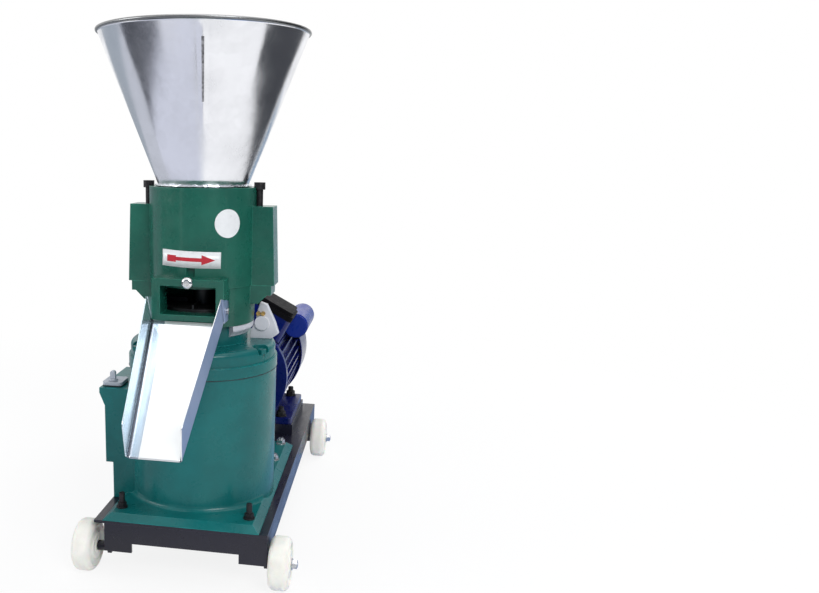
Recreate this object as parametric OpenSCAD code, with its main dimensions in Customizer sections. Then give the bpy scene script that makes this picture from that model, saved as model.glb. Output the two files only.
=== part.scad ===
// Flat-die feed pellet mill on a wheeled frame. Millimetres, Z up, floor at zero.
// The pieces are drawn round the vertical main shaft and then shifted along Y,
// so that the origin lies under the middle of the whole machine.

/* [Frame] */
// Height of the frame's top face above the floor
frame_top = 85; // [80:1:92]
// Overall width across the rail flanges
frame_w = 250; // [244:1:270]
// Overall length of the frame
frame_len = 632; // [616:1:680]
// From the main shaft's axis to the front face of the frame
frame_front = 146; // [144:1:165]
// Thickness of the frame's steel
frame_t = 4; // [3:0.5:5]
// Height of each side rail
rail_h = 35; // [30:1:38]
// Width of each rail's top flange
flange_w = 55; // [50:1:60]
// How far the left flange overhangs its web
left_overhang = 15; // [8:1:16]
// Height of the front and rear aprons, feet included
apron_h = 46; // [42:1:50]
// Depth of the notch between the feet of an apron
apron_notch = 14; // [8:1:18]
// Width of each foot of an apron
apron_foot_w = 40; // [30:1:55]
// Width of the flat cross bars under the deck
cross_bar_w = 60; // [40:1:70]

/* [Wheels] */
// Diameter of each wheel
wheel_d = 75; // [72:1:80]
// Width of the tread
wheel_w = 29; // [24:0.5:30]
// Width of the hub
hub_w = 31; // [30:0.5:31.5]
// Diameter of the hub
hub_d = 22; // [21:1:28]
// Rounding of the tread's shoulders
wheel_round = 9; // [4:0.5:10]
// From the middle of the machine to the middle of each wheel
wheel_x = 141.5; // [141:0.5:148]
// From the main shaft's axis forward to the front axles
front_axle = 128; // [120:1:135]
// From the main shaft's axis back to the rear axles
rear_axle = 414; // [400:1:425]
// Diameter of the axle bolts
axle_d = 8; // [8:0.5:10]
// Width of the ear that carries each axle bolt
ear_w = 26; // [24:1:28]
// Thickness of the ear
ear_t = 6; // [5:0.5:8]
// Drop of the ear below the axle
ear_drop = 7.5; // [7:0.5:10]

/* [Gearbox] */
// Thickness of the gearbox's base plate
plate_t = 9; // [8:1:12]
// How far the base plate stands out beyond the gearbox on each side
plate_side = 3; // [1:0.5:8]
// From the main shaft's axis back to the rear edge of the base plate
plate_rear = 223; // [222:1:232]
// How far the base plate's edges slope in to its top face
plate_bevel = 11; // [4:0.5:11]
// Outer radius of the gearbox
box_r = 110; // [108:1:112]
// Wall of the gearbox
box_wall = 12; // [9:1:14]
// Height of the joint between the gearbox and its lid
lid_z = 288; // [282:1:290]
// How far the lid's flange stands out beyond the gearbox
lid_flange_out = 1; // [0.5:0.5:3]
// Thickness of the lid's flange
lid_flange_t = 16; // [12:1:18]
// How far the lid's body is set in from the gearbox's outside
lid_step = 2; // [1:0.5:5]
// Height of the lid's top face
lid_top = 326; // [322:1:329]
// Radius of the bearing tower on the lid
tower_r = 66; // [60:1:70]
// Height of the tower above the lid's top face
tower_h = 30; // [26:1:33]
// Number of lid bolts
lid_bolts_n = 6; // [4:1:8]

/* [Oil box] */
// How far the oil box stands out from the main shaft's axis
oil_x = 135; // [130:1:138]
// How far its foot stands out
oil_foot_x = 124; // [120:1:126]
// Half the length of the oil box
oil_half = 63; // [55:1:70]
// Height where the oil box steps in to its foot
oil_low = 141; // [135:1:150]
// Height where the box starts to flare
oil_flare_z = 229; // [220:1:235]
// Height of the oil box's rim
oil_top = 256; // [250:1:262]
// How far the rim flares out
oil_flare = 8; // [4:1:10]
// Length of the filler cover plate
cover_len = 36; // [34:1:54]
// Width of the filler cover plate
cover_w = 30; // [28:1:34]
// Thickness of the filler cover plate
cover_t = 5; // [3:0.5:7]
// Thickness of the gasket under the cover
gasket_t = 2; // [1:0.5:3]
// Diameter of the dipstick's rod
dip_d = 6; // [5:0.5:7]
// Length of the dipstick's rod under the cover
dip_len = 70; // [50:1:90]

/* [Drive] */
// Height of the pinion's and the motor's axis
drive_z = 204; // [202:1:206]
// Number of teeth on the pinion
pinion_teeth = 12; // [12:1:12]
// Teeth of the crown gear for each tooth of the pinion
gear_ratio = 4; // [4:1:4]
// Room between the crown gear's pitch circle and the gearbox's wall
gear_room = 11.6; // [10:0.2:16]
// Length of the gear teeth
tooth_len = 22; // [18:1:24]
// Height of a tooth above the pitch cone
tooth_add = 2.6; // [2:0.1:2.8]
// Depth of a tooth below the pitch cone
tooth_ded = 3.6; // [3.2:0.1:4.2]
// Radius of the main shaft at its gear and die seats
shaft_r = 17; // [16:0.5:18]
// Radius of the main shaft's upper journal
upper_journal_r = 20; // [19.5:0.5:22]
// Radius of the main shaft's lower journal and of the pinion shaft
journal_r = 12.5; // [12:0.5:14]
// Outer radius of the small bearings
bearing_r = 26; // [24:0.5:28]
// Width of the small bearings
bearing_w = 15; // [13:1:16]
// Outer radius of the upper bearing
upper_bearing_r = 40; // [38:1:42]
// Width of the upper bearing
upper_bearing_w = 18; // [16:1:20]
// Radius of the pinion housing's flange
pinion_flange_r = 62; // [58:1:66]
// Thickness of the pinion housing's flange
pinion_flange_t = 10; // [8:1:12]
// Radius of the coupling hubs
coupling_r = 45; // [40:1:50]
// Length of each coupling hub
coupling_len = 28; // [24:1:30]

/* [Motor] */
// Radius of the motor's barrel between its fins
barrel_r = 86; // [84:1:88]
// Height of the cooling fins
fin_h = 10; // [8:1:11]
// Thickness of a fin
fin_t = 2.6; // [2:0.1:3.5]
// Number of fins round the whole barrel
fins_n = 40; // [32:2:48]
// Length of the finned barrel
barrel_len = 193; // [186:1:196]
// From the main shaft's axis back to the motor's foot centre
motor_y = 365; // [362:1:368]
// Length of the fan cover behind the finned barrel
cowl_len = 82; // [78:1:92]
// How far the fan cover stands out beyond the fins
cowl_out = 5; // [4:0.5:7]
// Distance between the foot holes across the motor
foot_pitch_x = 160; // [156:1:164]
// Distance between the foot holes along the motor
foot_pitch_y = 140; // [130:1:150]
// Thickness of the motor's feet
foot_t = 12; // [10:1:14]
// Thickness of the pads under the motor's feet
pad_t = 19; // [12:1:20]
// Radius of the capacitor's can
can_r = 23; // [20:1:25]
// Length of the capacitor's can
can_len = 118; // [105:1:125]
// Side length of the terminal box round the motor
tbox_w = 80; // [70:1:84]
// Length of the terminal box along the motor
tbox_len = 78; // [70:1:80]

/* [Pelleting chamber] */
// Outer radius of the lower casing
lower_r = 76; // [75:1:77]
// Wall of the lower casing
lower_wall = 6; // [5:1:7]
// Height of the joint between the two casings
split_z = 411; // [408:1:413]
// Outer radius of the upper casing
upper_r = 78; // [77:1:82]
// Wall of the upper casing
upper_wall = 14; // [12:1:14.5]
// Height of the upper casing's top face
casing_top = 549; // [545:1:560]
// Half the width of each side wing
wing_half = 20; // [18:1:24]
// How far the wings reach out at their top
wing_top_x = 104.5; // [102:0.5:108]
// How far the wings reach out at their bottom
wing_low_x = 108.5; // [106:0.5:112]
// Height of the wings' top face
wing_top = 523; // [518:1:530]
// Half the width of the outlet box
outlet_half = 51; // [48:1:54]
// From the main shaft's axis forward to the outlet's face
outlet_y = 95; // [92:1:98]
// Height of the outlet box's lower face
outlet_low = 369; // [366:1:372]
// Height of the outlet box's upper face
outlet_high = 427; // [424:1:430]
// Half the width of the outlet's opening
mouth_half = 39.5; // [36:0.5:42]
// Height of the outlet's opening
mouth_h = 40; // [34:1:40]

/* [Die and rollers] */
// Diameter of the die
die_d = 120; // [116:1:122]
// Thickness of the die
die_t = 20; // [16:1:22]
// Height of the die's top face
die_top = 430; // [428:1:432]
// Diameter of the die's holes
die_hole_d = 4.5; // [3:0.5:5]
// Radius of the innermost ring of holes
die_ring_r = 28; // [27:0.5:29]
// Distance from one ring of holes to the next
die_ring_step = 7; // [6.5:0.5:7.5]
// Diameter of each roller
roller_d = 60; // [58:1:61]
// Width of each roller
roller_w = 27; // [24:1:28]
// From the main shaft's axis to the middle of each roller
roller_x = 37; // [36:0.5:38]
// Diameter of the roller shaft
roller_shaft_d = 22; // [20:1:24]
// Gap between rollers and die at rest
roller_gap = 0.5; // [0.4:0.1:1]
// Number of grooves on each roller
roller_grooves = 36; // [24:2:48]
// From the main shaft's axis to each adjusting screw
screw_x = 82; // [80:0.5:83]
// Diameter of the adjusting screws
screw_d = 10; // [8:1:11]
// Height of the adjusting screws' heads above the wings
screw_out = 33; // [28:1:36]

/* [Hopper and chute] */
// Radius of the hopper's mouth
hopper_r = 146.5; // [140:0.5:155]
// Height of the hopper's rim
hopper_top = 760; // [740:1:790]
// Radius of the hopper's lower end
hopper_low_r = 65.5; // [65:0.5:68]
// Thickness of the hopper's sheet
hopper_t = 1.2; // [1:0.1:1.5]
// Radius of the rolled wire in the rim
rim_r = 3.2; // [2.5:0.1:4]
// Depth of the hopper's spigot in the casing
spigot_h = 12; // [10:1:16]
// Length of the chute's floor
chute_len = 216; // [190:1:240]
// Slope of the chute in degrees
chute_slope = 40.6; // [36:0.1:44]
// Half the width of the chute's tip
chute_tip = 35; // [30:0.5:42]
// Height of the chute's side walls
chute_wall = 42; // [36:1:46]
// Thickness of the chute's sheet
chute_t = 1.2; // [1:0.1:1.5]

/* [Hidden] */
$fn = 64;
overrun = 1;
seat_gap = 0.3;
run_gap = 0.05;
hole_gap = 0.1;
side_gap = 0.4;

// Frame
frame_half = frame_w / 2;
flange_z = frame_top - frame_t;
left_web_x = frame_half - left_overhang;
frame_rear = frame_len - frame_front;
wheel_r = wheel_d / 2;
axle_r = axle_d / 2;
axle_head_af = axle_d * 1.5;
axle_head_h = axle_d * 0.65;
axle_nut_h = axle_d * 0.75;
washer_t = axle_d / 6;
hub_in = wheel_x - hub_w / 2 - side_gap;
hub_out = wheel_x + hub_w / 2 + side_gap;
anchor_x = 93.5;
anchor_d = 8;
anchor_front = 114;
anchor_back_1 = 122;
anchor_back_2 = 203;
stud_top = 22;
motor_stud_top = 18;
nut_share = 1.5;
nut_h_share = 0.8;
washer_r_share = 1.05;
washer_t_share = 0.18;

// Gearbox
plate_z = frame_top;
plate_top = plate_z + plate_t;
plate_half = box_r + plate_side;
box_in = box_r - box_wall;
lid_flange_r = box_r + lid_flange_out;
lid_r = box_r - lid_step;
tower_top = lid_top + tower_h;
base_fillet = 8;
lid_round = 8;
lid_roof = 14;
lid_spigot = 6;
lid_pocket_r = 14;
lid_seat_rise = 12;
lid_seat = lid_flange_t + lid_seat_rise;
lid_turn_share = 0.617;
lid_bolt_d = 8;
lid_bolt_r = box_r - box_wall / 2;
bearing_boss_wall = 10;
bearing_boss_lip = 3;
bearing_boss_h = bearing_w + bearing_boss_lip;
upper_bearing_depth = 16;
upper_bearing_z = tower_top - upper_bearing_w - upper_bearing_depth;
oil_wall = 4;
cover_in = 9;
cover_x = oil_x - cover_in;
cover_y = 38;
dip_out = 1;
dip_front = 8;
dip_x = cover_x + dip_out;
dip_y = cover_y + dip_front;
grip_w = 8;
grip_h = 13;
grip_t = 6;
collar_r = 7;
collar_h = 2.5;
drain_d = 14;
drain_rise = 28;
drain_z = plate_top + drain_rise;
drain_turn = 125;
pinion_pad_out = 8;
pinion_pad_y = box_r + pinion_pad_out;
pinion_spigot_r = 44;
pinion_spigot_in = 6;
pinion_spigot_y = box_in - pinion_spigot_in;
pinion_nose_r = 38;
pinion_nose_len = 32;
pinion_nose_y = pinion_pad_y + pinion_nose_len;
pinion_bolt_r = 53;
pinion_bolt_d = 8;

// Coupling between the pinion shaft and the motor
coupling_y1 = pinion_nose_y + seat_gap * 4;
coupling_y2 = coupling_y1 + coupling_len;
coupling_gap = 2;
coupling_y3 = coupling_y2 + coupling_gap;
buffer_r = 7;
buffer_wall = 6;
buffer_circle_r = coupling_r - buffer_wall - buffer_r;
buffers_n = 6;

// Bevel gears
crown_teeth = pinion_teeth * gear_ratio;
crown_r = box_in - gear_room;
gear_module = 2 * crown_r / crown_teeth;
pinion_r = pinion_teeth * gear_module / 2;
pitch_angle = atan(pinion_r / crown_r);
tooth_root_half = 2.1;
tooth_tip_half = 1;
crown_body = 24;
crown_back_z = drive_z - pinion_r - crown_body;
crown_hub_r = 30;
crown_hub_h = 12;
crown_hub_z = crown_back_z - crown_hub_h;
gear_inner_share = 1 - tooth_len / norm([crown_r, pinion_r]);

// Main shaft
die_low = die_top - die_t;
slinger_rise = 18;
slinger_z = tower_top + slinger_rise;
slinger_t = 6;
slinger_wall = 11;
slinger_r = lower_r - slinger_wall;
slinger_hub_r = 24;
die_nut_h = 13;
thread_r = 12;
thread_out = 2;
thread_top = die_top + die_nut_h + thread_out;
shaft_foot = plate_top + seat_gap;

// Motor
motor_foot_z = frame_top + pad_t;
shoulder_len = 52;
motor_front = motor_y - foot_pitch_y / 2 - shoulder_len;
shield_t = 12;
barrel_y = motor_front + shield_t;
barrel_end = barrel_y + barrel_len;
shield_lip = 8;
nose_r = 48;
nose_h = 8;
fin_r = barrel_r + fin_h;
cowl_r = fin_r + cowl_out;
motor_rear = barrel_end + cowl_len;
barrel_wall = 6;
stator_r = barrel_r - barrel_wall;
rotor_share = 0.7;
rotor_r = stator_r * rotor_share;
rotor_len = 120;
air_gap = 0.5;
motor_shaft_r = 14;
motor_bearing_r = 31;
motor_bearing_w = 16;
cowl_t = 2;
cowl_lap = 14;
cowl_round = 14;
cowl_slots_n = 18;
cowl_slot_w = 6;
cowl_hub_r = 26;
fan_room = 19;
fan_r = cowl_r - fan_room;
fan_hub_r = 24;
fan_t = 3;
fan_w = 30;
fan_blades_n = 8;
foot_w = 42;
foot_out = 13;
foot_len = foot_pitch_y + foot_out * 2;
motor_bolt_d = 10;
leg_in = 24;
leg_x = foot_pitch_x / 2 - leg_in;
leg_t = 14;
leg_h = 64;
leg_half = barrel_end - cowl_lap - overrun - motor_y;
tbox_wall = 3;
tbox_angle = 28;
tbox_sink = 12;
tbox_base = fin_r - tbox_sink;
tbox_h = 48;
tcover_h = 16;
tbox_y = barrel_y + tbox_len / 2 + tbox_wall;
tbox_round = 8;
gland_r = 11;
gland_len = 20;
can_angle = 38;
can_round = 4;
can_y = tbox_y + tbox_len / 2 + can_round + overrun;
can_axis_r = cowl_r + seat_gap + can_r;
saddle_w = 24;
saddle_t = 12;
saddle_places = [can_y + can_len / 5, barrel_end - cowl_lap - saddle_t * 2];

// Casings
wing_play = 1.5;
roller_shaft_end = 93;
lower_in = lower_r - lower_wall;
lower_floor = 8;
upper_in = upper_r - upper_wall;
wing_cavity_x = roller_shaft_end + wing_play * 2;
wing_cavity_half = roller_shaft_d / 2 + wing_play;
ear_inset = 0.5;
ear_out = wing_top_x - ear_inset;
ear_h = 14;
ear_low = split_z - ear_h;
ear_toe = 6;
ear_diag = 13;
mouth_sill = 8;
mouth_low = outlet_low + mouth_sill;
mouth_high = mouth_low + mouth_h;
outlet_screw_r = 4;
outlet_screw_z = mouth_high + outlet_screw_r + overrun;
outlet_head_r = 8.3;
outlet_head_h = 6;
notch_w = 12;
notch_h = 13;
notch_depth = 6;
roller_r = roller_d / 2;
roller_z = die_top + roller_gap + roller_r;
roller_shaft_r = roller_shaft_d / 2;
roller_collar_t = 3;
roller_collar_r = roller_shaft_r + roller_collar_t;
roller_collar_w = 6;
groove_r = 1.1;
roller_lift = 4;
screw_r = screw_d / 2;
screw_head_r = screw_d * 0.8;
screw_head_h = screw_d;
socket_share = 0.8;
screw_tip_z = roller_z + roller_shaft_r;
screw_head_z = wing_top + screw_out - screw_head_h;
knife_w = 16;
knife_t = 5;
knife_r1 = 26;
knife_z = die_low - knife_t - overrun;
knife_screw_r = 3;
bracket_y = 14;
bracket_t = 12;
bracket_back = bracket_y + bracket_t;

// Chute, in its own frame: down the floor, across and square to the floor
chute_y0 = outlet_y + overrun;
chute_z0 = outlet_low - overrun;
chute_cut_share = 0.9;
chute_top_half = outlet_half + run_gap;
cheek_back = 26;
cheek_h = 28;
chute_front = chute_y0 + chute_len * chute_cut_share * cos(chute_slope) + chute_wall * sin(chute_slope);

chute_tip_h = 6;
chute_rise = 8;
chute_screw_in = 14;
chute_screw_y = outlet_y - chute_screw_in;
chute_screw_z = outlet_low + chute_screw_in;
chute_screw_r = 2.5;
seam_w = 5;
seam_t = 1;
bracket_gap = 3;
bracket_low = 8;
bracket_mid = 26;
bracket_h = 54;
bracket_nose = 3;
bracket_foot = 16;
bracket_boss_r = 11;
bracket_screw_r = 4;
bracket_screw_in = 10;
bracket_screw_x = lid_r - lid_round - bracket_screw_in;
brass_in = 5;
brass_step = 7;
brass_places = [lower_r + brass_in, lower_r + brass_in + brass_step];
brass_drop = 16;
brass_z = lid_top + bracket_h - brass_drop;

// The middle of the machine along Y, measured from the main shaft's axis
middle_y = (motor_rear - chute_front) / 2;

// Puts a piece drawn round the main shaft into the machine's own frame
module placed() translate([0, -middle_y, 0]) children();

// A straight cylinder along Y from one distance to another
module bar_y(y1, y2, r) translate([0, y1, 0]) rotate([-90, 0, 0]) cylinder(h = y2 - y1, r = r);

// A straight cylinder along X from one distance to another
module bar_x(x1, x2, r) translate([x1, 0, 0]) rotate([0, 90, 0]) cylinder(h = x2 - x1, r = r);

// A box given by its low and high corners
module block(low, high) translate(low) cube(high - low);

// A hexagon standing on the XY plane, given across its flats
module hexagon(flats, h) cylinder(h = h, r = flats / sqrt(3), $fn = 6);

// A flat plate with round corners, given by its low and high corners
module rounded_plate(low, high, r) {
    block([low[0] + r, low[1], low[2]], [high[0] - r, high[1], high[2]]);
    block([low[0], low[1] + r, low[2]], [high[0], high[1] - r, high[2]]);
    for (x = [low[0] + r, high[0] - r], y = [low[1] + r, high[1] - r])
        translate([x, y, low[2]]) cylinder(h = high[2] - low[2], r = r);
}

// A flat plate whose four edges slope in to its top face
module bevelled_plate(low, high, bevel) intersection() {
    translate([0, high[1], 0]) rotate([90, 0, 0]) linear_extrude(high[1] - low[1]) polygon([
        [low[0], low[2]], [high[0], low[2]], [high[0] - bevel, high[2]], [low[0] + bevel, high[2]]]);
    translate([low[0], 0, 0]) rotate([90, 0, 90]) linear_extrude(high[0] - low[0]) polygon([
        [low[1], low[2]], [high[1], low[2]], [high[1] - bevel, high[2]], [low[1] + bevel, high[2]]]);
}

// A ring standing on the XY plane
module ring(r_out, r_in, h) difference() {
    cylinder(h = h, r = r_out);
    translate([0, 0, -overrun]) cylinder(h = h + 2 * overrun, r = r_in);
}

// A ring along Y from one distance to another
module ring_y(y1, y2, r_out, r_in) translate([0, y1, 0]) rotate([-90, 0, 0]) ring(r_out, r_in, y2 - y1);

// Where the axle, anchor, plate and motor bolts stand
axle_places = [[-1, -front_axle], [1, -front_axle], [-1, rear_axle], [1, rear_axle]];
anchor_places = [for (side = [-1, 1]) [side * anchor_x, -anchor_front]];
plate_places = [for (side = [-1, 1], y = [anchor_back_1, anchor_back_2]) [side * anchor_x, y]];
motor_places = [for (side = [-1, 1], end = [-1, 1])
    [side * foot_pitch_x / 2, motor_y + end * foot_pitch_y / 2]];

// The ear below a rail that carries one axle bolt, from its inner to its outer face
module axle_ear(inner, outer, y) {
    low = wheel_r - ear_drop;
    block([inner, y - ear_w / 2, low + ear_w / 4], [outer, y + ear_w / 2, flange_z]);
    block([inner, y - ear_w / 4, low], [outer, y + ear_w / 4, wheel_r]);
}

// One side rail: a top flange, a web and two ears with bosses against the wheels
module rail(side) {
    web_out = side < 0 ? left_web_x : frame_half;
    difference() {
        union() {
            block([min(side * frame_half, side * (frame_half - flange_w)), -frame_front, flange_z],
                [max(side * frame_half, side * (frame_half - flange_w)), frame_rear, frame_top]);
            block([min(side * web_out, side * (web_out - frame_t)), frame_t - frame_front,
                frame_top - rail_h],
                [max(side * web_out, side * (web_out - frame_t)), frame_rear - frame_t, flange_z]);
            for (y = [-front_axle, rear_axle]) {
                if (side < 0) axle_ear(-web_out, ear_t - web_out, y);
                else axle_ear(web_out - ear_t, web_out, y);
                translate([0, y, wheel_r])
                    bar_x(side < 0 ? -hub_in : web_out, side < 0 ? -web_out : hub_in, axle_d * 0.9);
            }
        }
        for (y = [-front_axle, rear_axle]) translate([0, y, wheel_r])
            bar_x(side < 0 ? -hub_in - overrun : left_web_x - ear_t,
                side < 0 ? ear_t - left_web_x + overrun : hub_in + overrun, axle_r + hole_gap);
        for (p = concat(anchor_places, plate_places)) if (p[0] * side > 0)
            translate([p[0], p[1], flange_z - overrun])
                cylinder(h = frame_t + 2 * overrun, r = anchor_d / 2 + hole_gap);
        for (p = motor_places) if (p[0] * side > 0)
            translate([p[0], p[1], flange_z - overrun])
                cylinder(h = frame_t + 2 * overrun, r = motor_bolt_d / 2 + hole_gap);
    }
}

module left_rail() color([0.12, 0.12, 0.16]) placed() rail(-1);
module right_rail() color([0.12, 0.12, 0.16]) placed() rail(1);

// A folded apron with two feet, its lower edge cut back between them
module apron(y) {
    low = flange_z - apron_h + frame_t;
    difference() {
        block([-left_web_x, y, low], [frame_half, y + frame_t, flange_z]);
        block([apron_foot_w - left_web_x, y - overrun, low - overrun],
            [frame_half - apron_foot_w, y + frame_t + overrun, low + apron_notch]);
    }
}

module front_apron() color([0.12, 0.12, 0.16]) placed() apron(-frame_front);
module rear_apron() color([0.12, 0.12, 0.16]) placed() apron(frame_rear - frame_t);

// Two flat bars that tie the rail flanges together
module cross_bars() color([0.12, 0.12, 0.16]) placed()
    for (y = [-frame_front, frame_rear - cross_bar_w])
        block([flange_w - frame_half, y, flange_z], [frame_half - flange_w, y + cross_bar_w, frame_top]);

// Two pads that lift the motor's feet off the rails
module motor_pads() color([0.1, 0.1, 0.2]) placed() difference() {
    for (side = [-1, 1]) translate([side * foot_pitch_x / 2, motor_y, frame_top])
        block([-foot_w / 2 - fin_t, -foot_len / 2 - fin_t, 0],
            [foot_w / 2 + fin_t, foot_len / 2 + fin_t, pad_t]);
    for (p = motor_places) translate([p[0], p[1], frame_top - overrun])
        cylinder(h = pad_t + 2 * overrun, r = motor_bolt_d / 2 + hole_gap);
}

// A moulded wheel turned from one outline, with a dished face on both sides
module wheel(side, y) color([0.9, 0.9, 0.86]) placed()
    translate([side * wheel_x, y, wheel_r]) rotate([0, 90, 0]) rotate_extrude() difference() {
        union() {
            translate([axle_r + run_gap, -wheel_w / 2])
                square([wheel_r - wheel_round - axle_r - run_gap, wheel_w]);
            translate([axle_r + run_gap, wheel_round - wheel_w / 2])
                square([wheel_r - axle_r - run_gap, wheel_w - 2 * wheel_round]);
            for (z = [-1, 1]) translate([wheel_r - wheel_round, z * (wheel_w / 2 - wheel_round)])
                circle(r = wheel_round);
            translate([axle_r + run_gap, -hub_w / 2]) square([hub_d / 2 - axle_r - run_gap, hub_w]);
        }
        for (z = [-1, 1]) translate([(hub_d / 2 + wheel_r) / 2, z * (wheel_w / 2 + wheel_round / 3)])
            circle(r = (wheel_r - hub_d / 2) / 4);
    }

module wheel_front_left() wheel(-1, -front_axle);
module wheel_front_right() wheel(1, -front_axle);
module wheel_rear_left() wheel(-1, rear_axle);
module wheel_rear_right() wheel(1, rear_axle);

// Axle bolts with their heads inside the ears
module axle_bolts() color([0.75, 0.76, 0.78]) placed()
    for (p = axle_places) {
        head = p[0] < 0 ? left_web_x - ear_t : frame_half - ear_t;
        tip = hub_out + washer_t + axle_nut_h + axle_d / 8;
        translate([0, p[1], wheel_r]) {
            core = head - axle_head_h / 2;
            bar_x(min(p[0] * core, p[0] * tip), max(p[0] * core, p[0] * tip), axle_r);
            translate([p[0] * head - (p[0] > 0 ? axle_head_h : 0), 0, 0])
                rotate([0, 90, 0]) hexagon(axle_head_af, axle_head_h);
        }
    }

// Plain nuts and washers outside the wheels
module axle_nuts() color([0.75, 0.76, 0.78]) placed() difference() {
    for (p = axle_places) translate([0, p[1], wheel_r]) {
        bar_x(p[0] > 0 ? hub_out : -hub_out - washer_t, p[0] > 0 ? hub_out + washer_t : -hub_out,
            axle_d);
        translate([p[0] > 0 ? hub_out + washer_t / 2 : -hub_out - washer_t - axle_nut_h, 0, 0])
            rotate([0, 90, 0]) hexagon(axle_head_af, axle_nut_h + washer_t / 2);
    }
    for (p = axle_places) translate([0, p[1], wheel_r])
        bar_x(min(p[0] * hub_out, p[0] * (hub_out + wheel_w)) - overrun,
            max(p[0] * hub_out, p[0] * (hub_out + wheel_w)) + overrun, axle_r);
}

// A stud through the frame with a head below and a washer and nut above, its foot on the plate's top
module clamp_bolt(d, grip, above) {
    translate([0, 0, -grip - d * nut_h_share]) rotate(30) hexagon(d * nut_share, d * nut_h_share);
    translate([0, 0, -grip - d * nut_h_share / 2])
        cylinder(h = grip + d * nut_h_share / 2 + above, r = d / 2);
    cylinder(h = d * washer_t_share, r = d * washer_r_share);
    translate([0, 0, d * washer_t_share]) hexagon(d * nut_share, d * nut_h_share);
}

module anchor_studs() color([0.08, 0.08, 0.1]) placed()
    for (p = anchor_places) translate([p[0], p[1], plate_top])
        clamp_bolt(anchor_d, plate_t + frame_t, stud_top);

module plate_bolts() color([0.75, 0.76, 0.78]) placed()
    for (p = plate_places) translate([p[0], p[1], plate_top])
        clamp_bolt(anchor_d, plate_t + frame_t, stud_top / 2);

module motor_bolts() color([0.08, 0.08, 0.1]) placed()
    for (p = motor_places) translate([p[0], p[1], motor_foot_z + foot_t])
        clamp_bolt(motor_bolt_d, foot_t + pad_t + frame_t, motor_stud_top);

// Outline of the oil box across the machine, with a foot, a body and a flared rim
module oil_outline(inset) polygon([
    [2 * box_wall - box_in, plate_top], [inset - oil_foot_x, plate_top], [inset - oil_foot_x, oil_low],
    [inset - oil_x, oil_low], [inset - oil_x, oil_flare_z],
    [inset - oil_x - oil_flare, oil_top - oil_flare], [inset - oil_x - oil_flare, oil_top],
    [2 * box_wall - box_in, oil_top]]);

// Gearbox casting: base plate, round shell, oil box, bearing boss and pinion pad
module gearbox_housing() color([0.13, 0.38, 0.36]) placed() {
    housing_shell();
    translate([0, 0, plate_top]) ring(bearing_r + bearing_boss_wall, bearing_r, bearing_boss_h);
}

module housing_shell() difference() {
    union() {
        bevelled_plate([-plate_half, -frame_front, plate_z], [plate_half, plate_rear, plate_top],
            plate_bevel);
        block([-oil_foot_x, -oil_half, plate_z], [0, oil_half, plate_top]);
        translate([0, 0, plate_z]) cylinder(h = lid_z - plate_z, r = box_r);
        intersection() {
            translate([0, 0, plate_top]) rotate_extrude() difference() {
                translate([box_in, 0]) square([box_wall + base_fillet, base_fillet]);
                translate([box_r + base_fillet, base_fillet]) circle(r = base_fillet);
            }
            block([plate_bevel - plate_half, -frame_front, plate_top],
                [plate_half - plate_bevel, frame_front, plate_top + base_fillet]);
        }
        translate([0, oil_half, 0]) rotate([90, 0, 0]) linear_extrude(2 * oil_half) oil_outline(0);
        translate([0, 0, drive_z]) bar_y(box_in, pinion_pad_y, pinion_flange_r);
    }
    translate([0, 0, plate_top]) cylinder(h = lid_z - plate_top + overrun, r = box_in);
    block([oil_wall - oil_x, oil_wall - oil_half, oil_low + oil_wall],
        [2 * box_wall - box_in, oil_half - oil_wall, oil_top - oil_wall]);
    translate([-dip_x, -dip_y, oil_top - oil_wall - overrun])
        cylinder(h = oil_wall + 2 * overrun, r = dip_d / 2 + seat_gap);
    translate([0, 0, drive_z]) bar_y(0, pinion_pad_y + overrun, pinion_spigot_r + hole_gap);
    for (p = concat(anchor_places, plate_places)) translate([p[0], p[1], plate_z - overrun])
        cylinder(h = plate_t + 2 * overrun, r = anchor_d / 2 + hole_gap);
    for (a = [45 : 90 : 315]) translate([0, 0, drive_z]) rotate([0, a, 0])
        translate([pinion_bolt_r, 0, 0]) bar_y(box_in, pinion_pad_y + overrun,
            pinion_bolt_d / 2 + hole_gap);
    for (i = [0 : lid_bolts_n - 1]) rotate([0, 0, (i + lid_turn_share) * 360 / lid_bolts_n])
        translate([lid_bolt_r, 0, lid_z - lid_bolt_d * 2])
            cylinder(h = lid_bolt_d * 2 + overrun, r = lid_bolt_d / 2 + hole_gap);
    rotate([0, 0, drain_turn]) translate([0, 0, drain_z])
        bar_x(box_in - overrun, box_r + overrun, drain_d / 2 + hole_gap);
}

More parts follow.
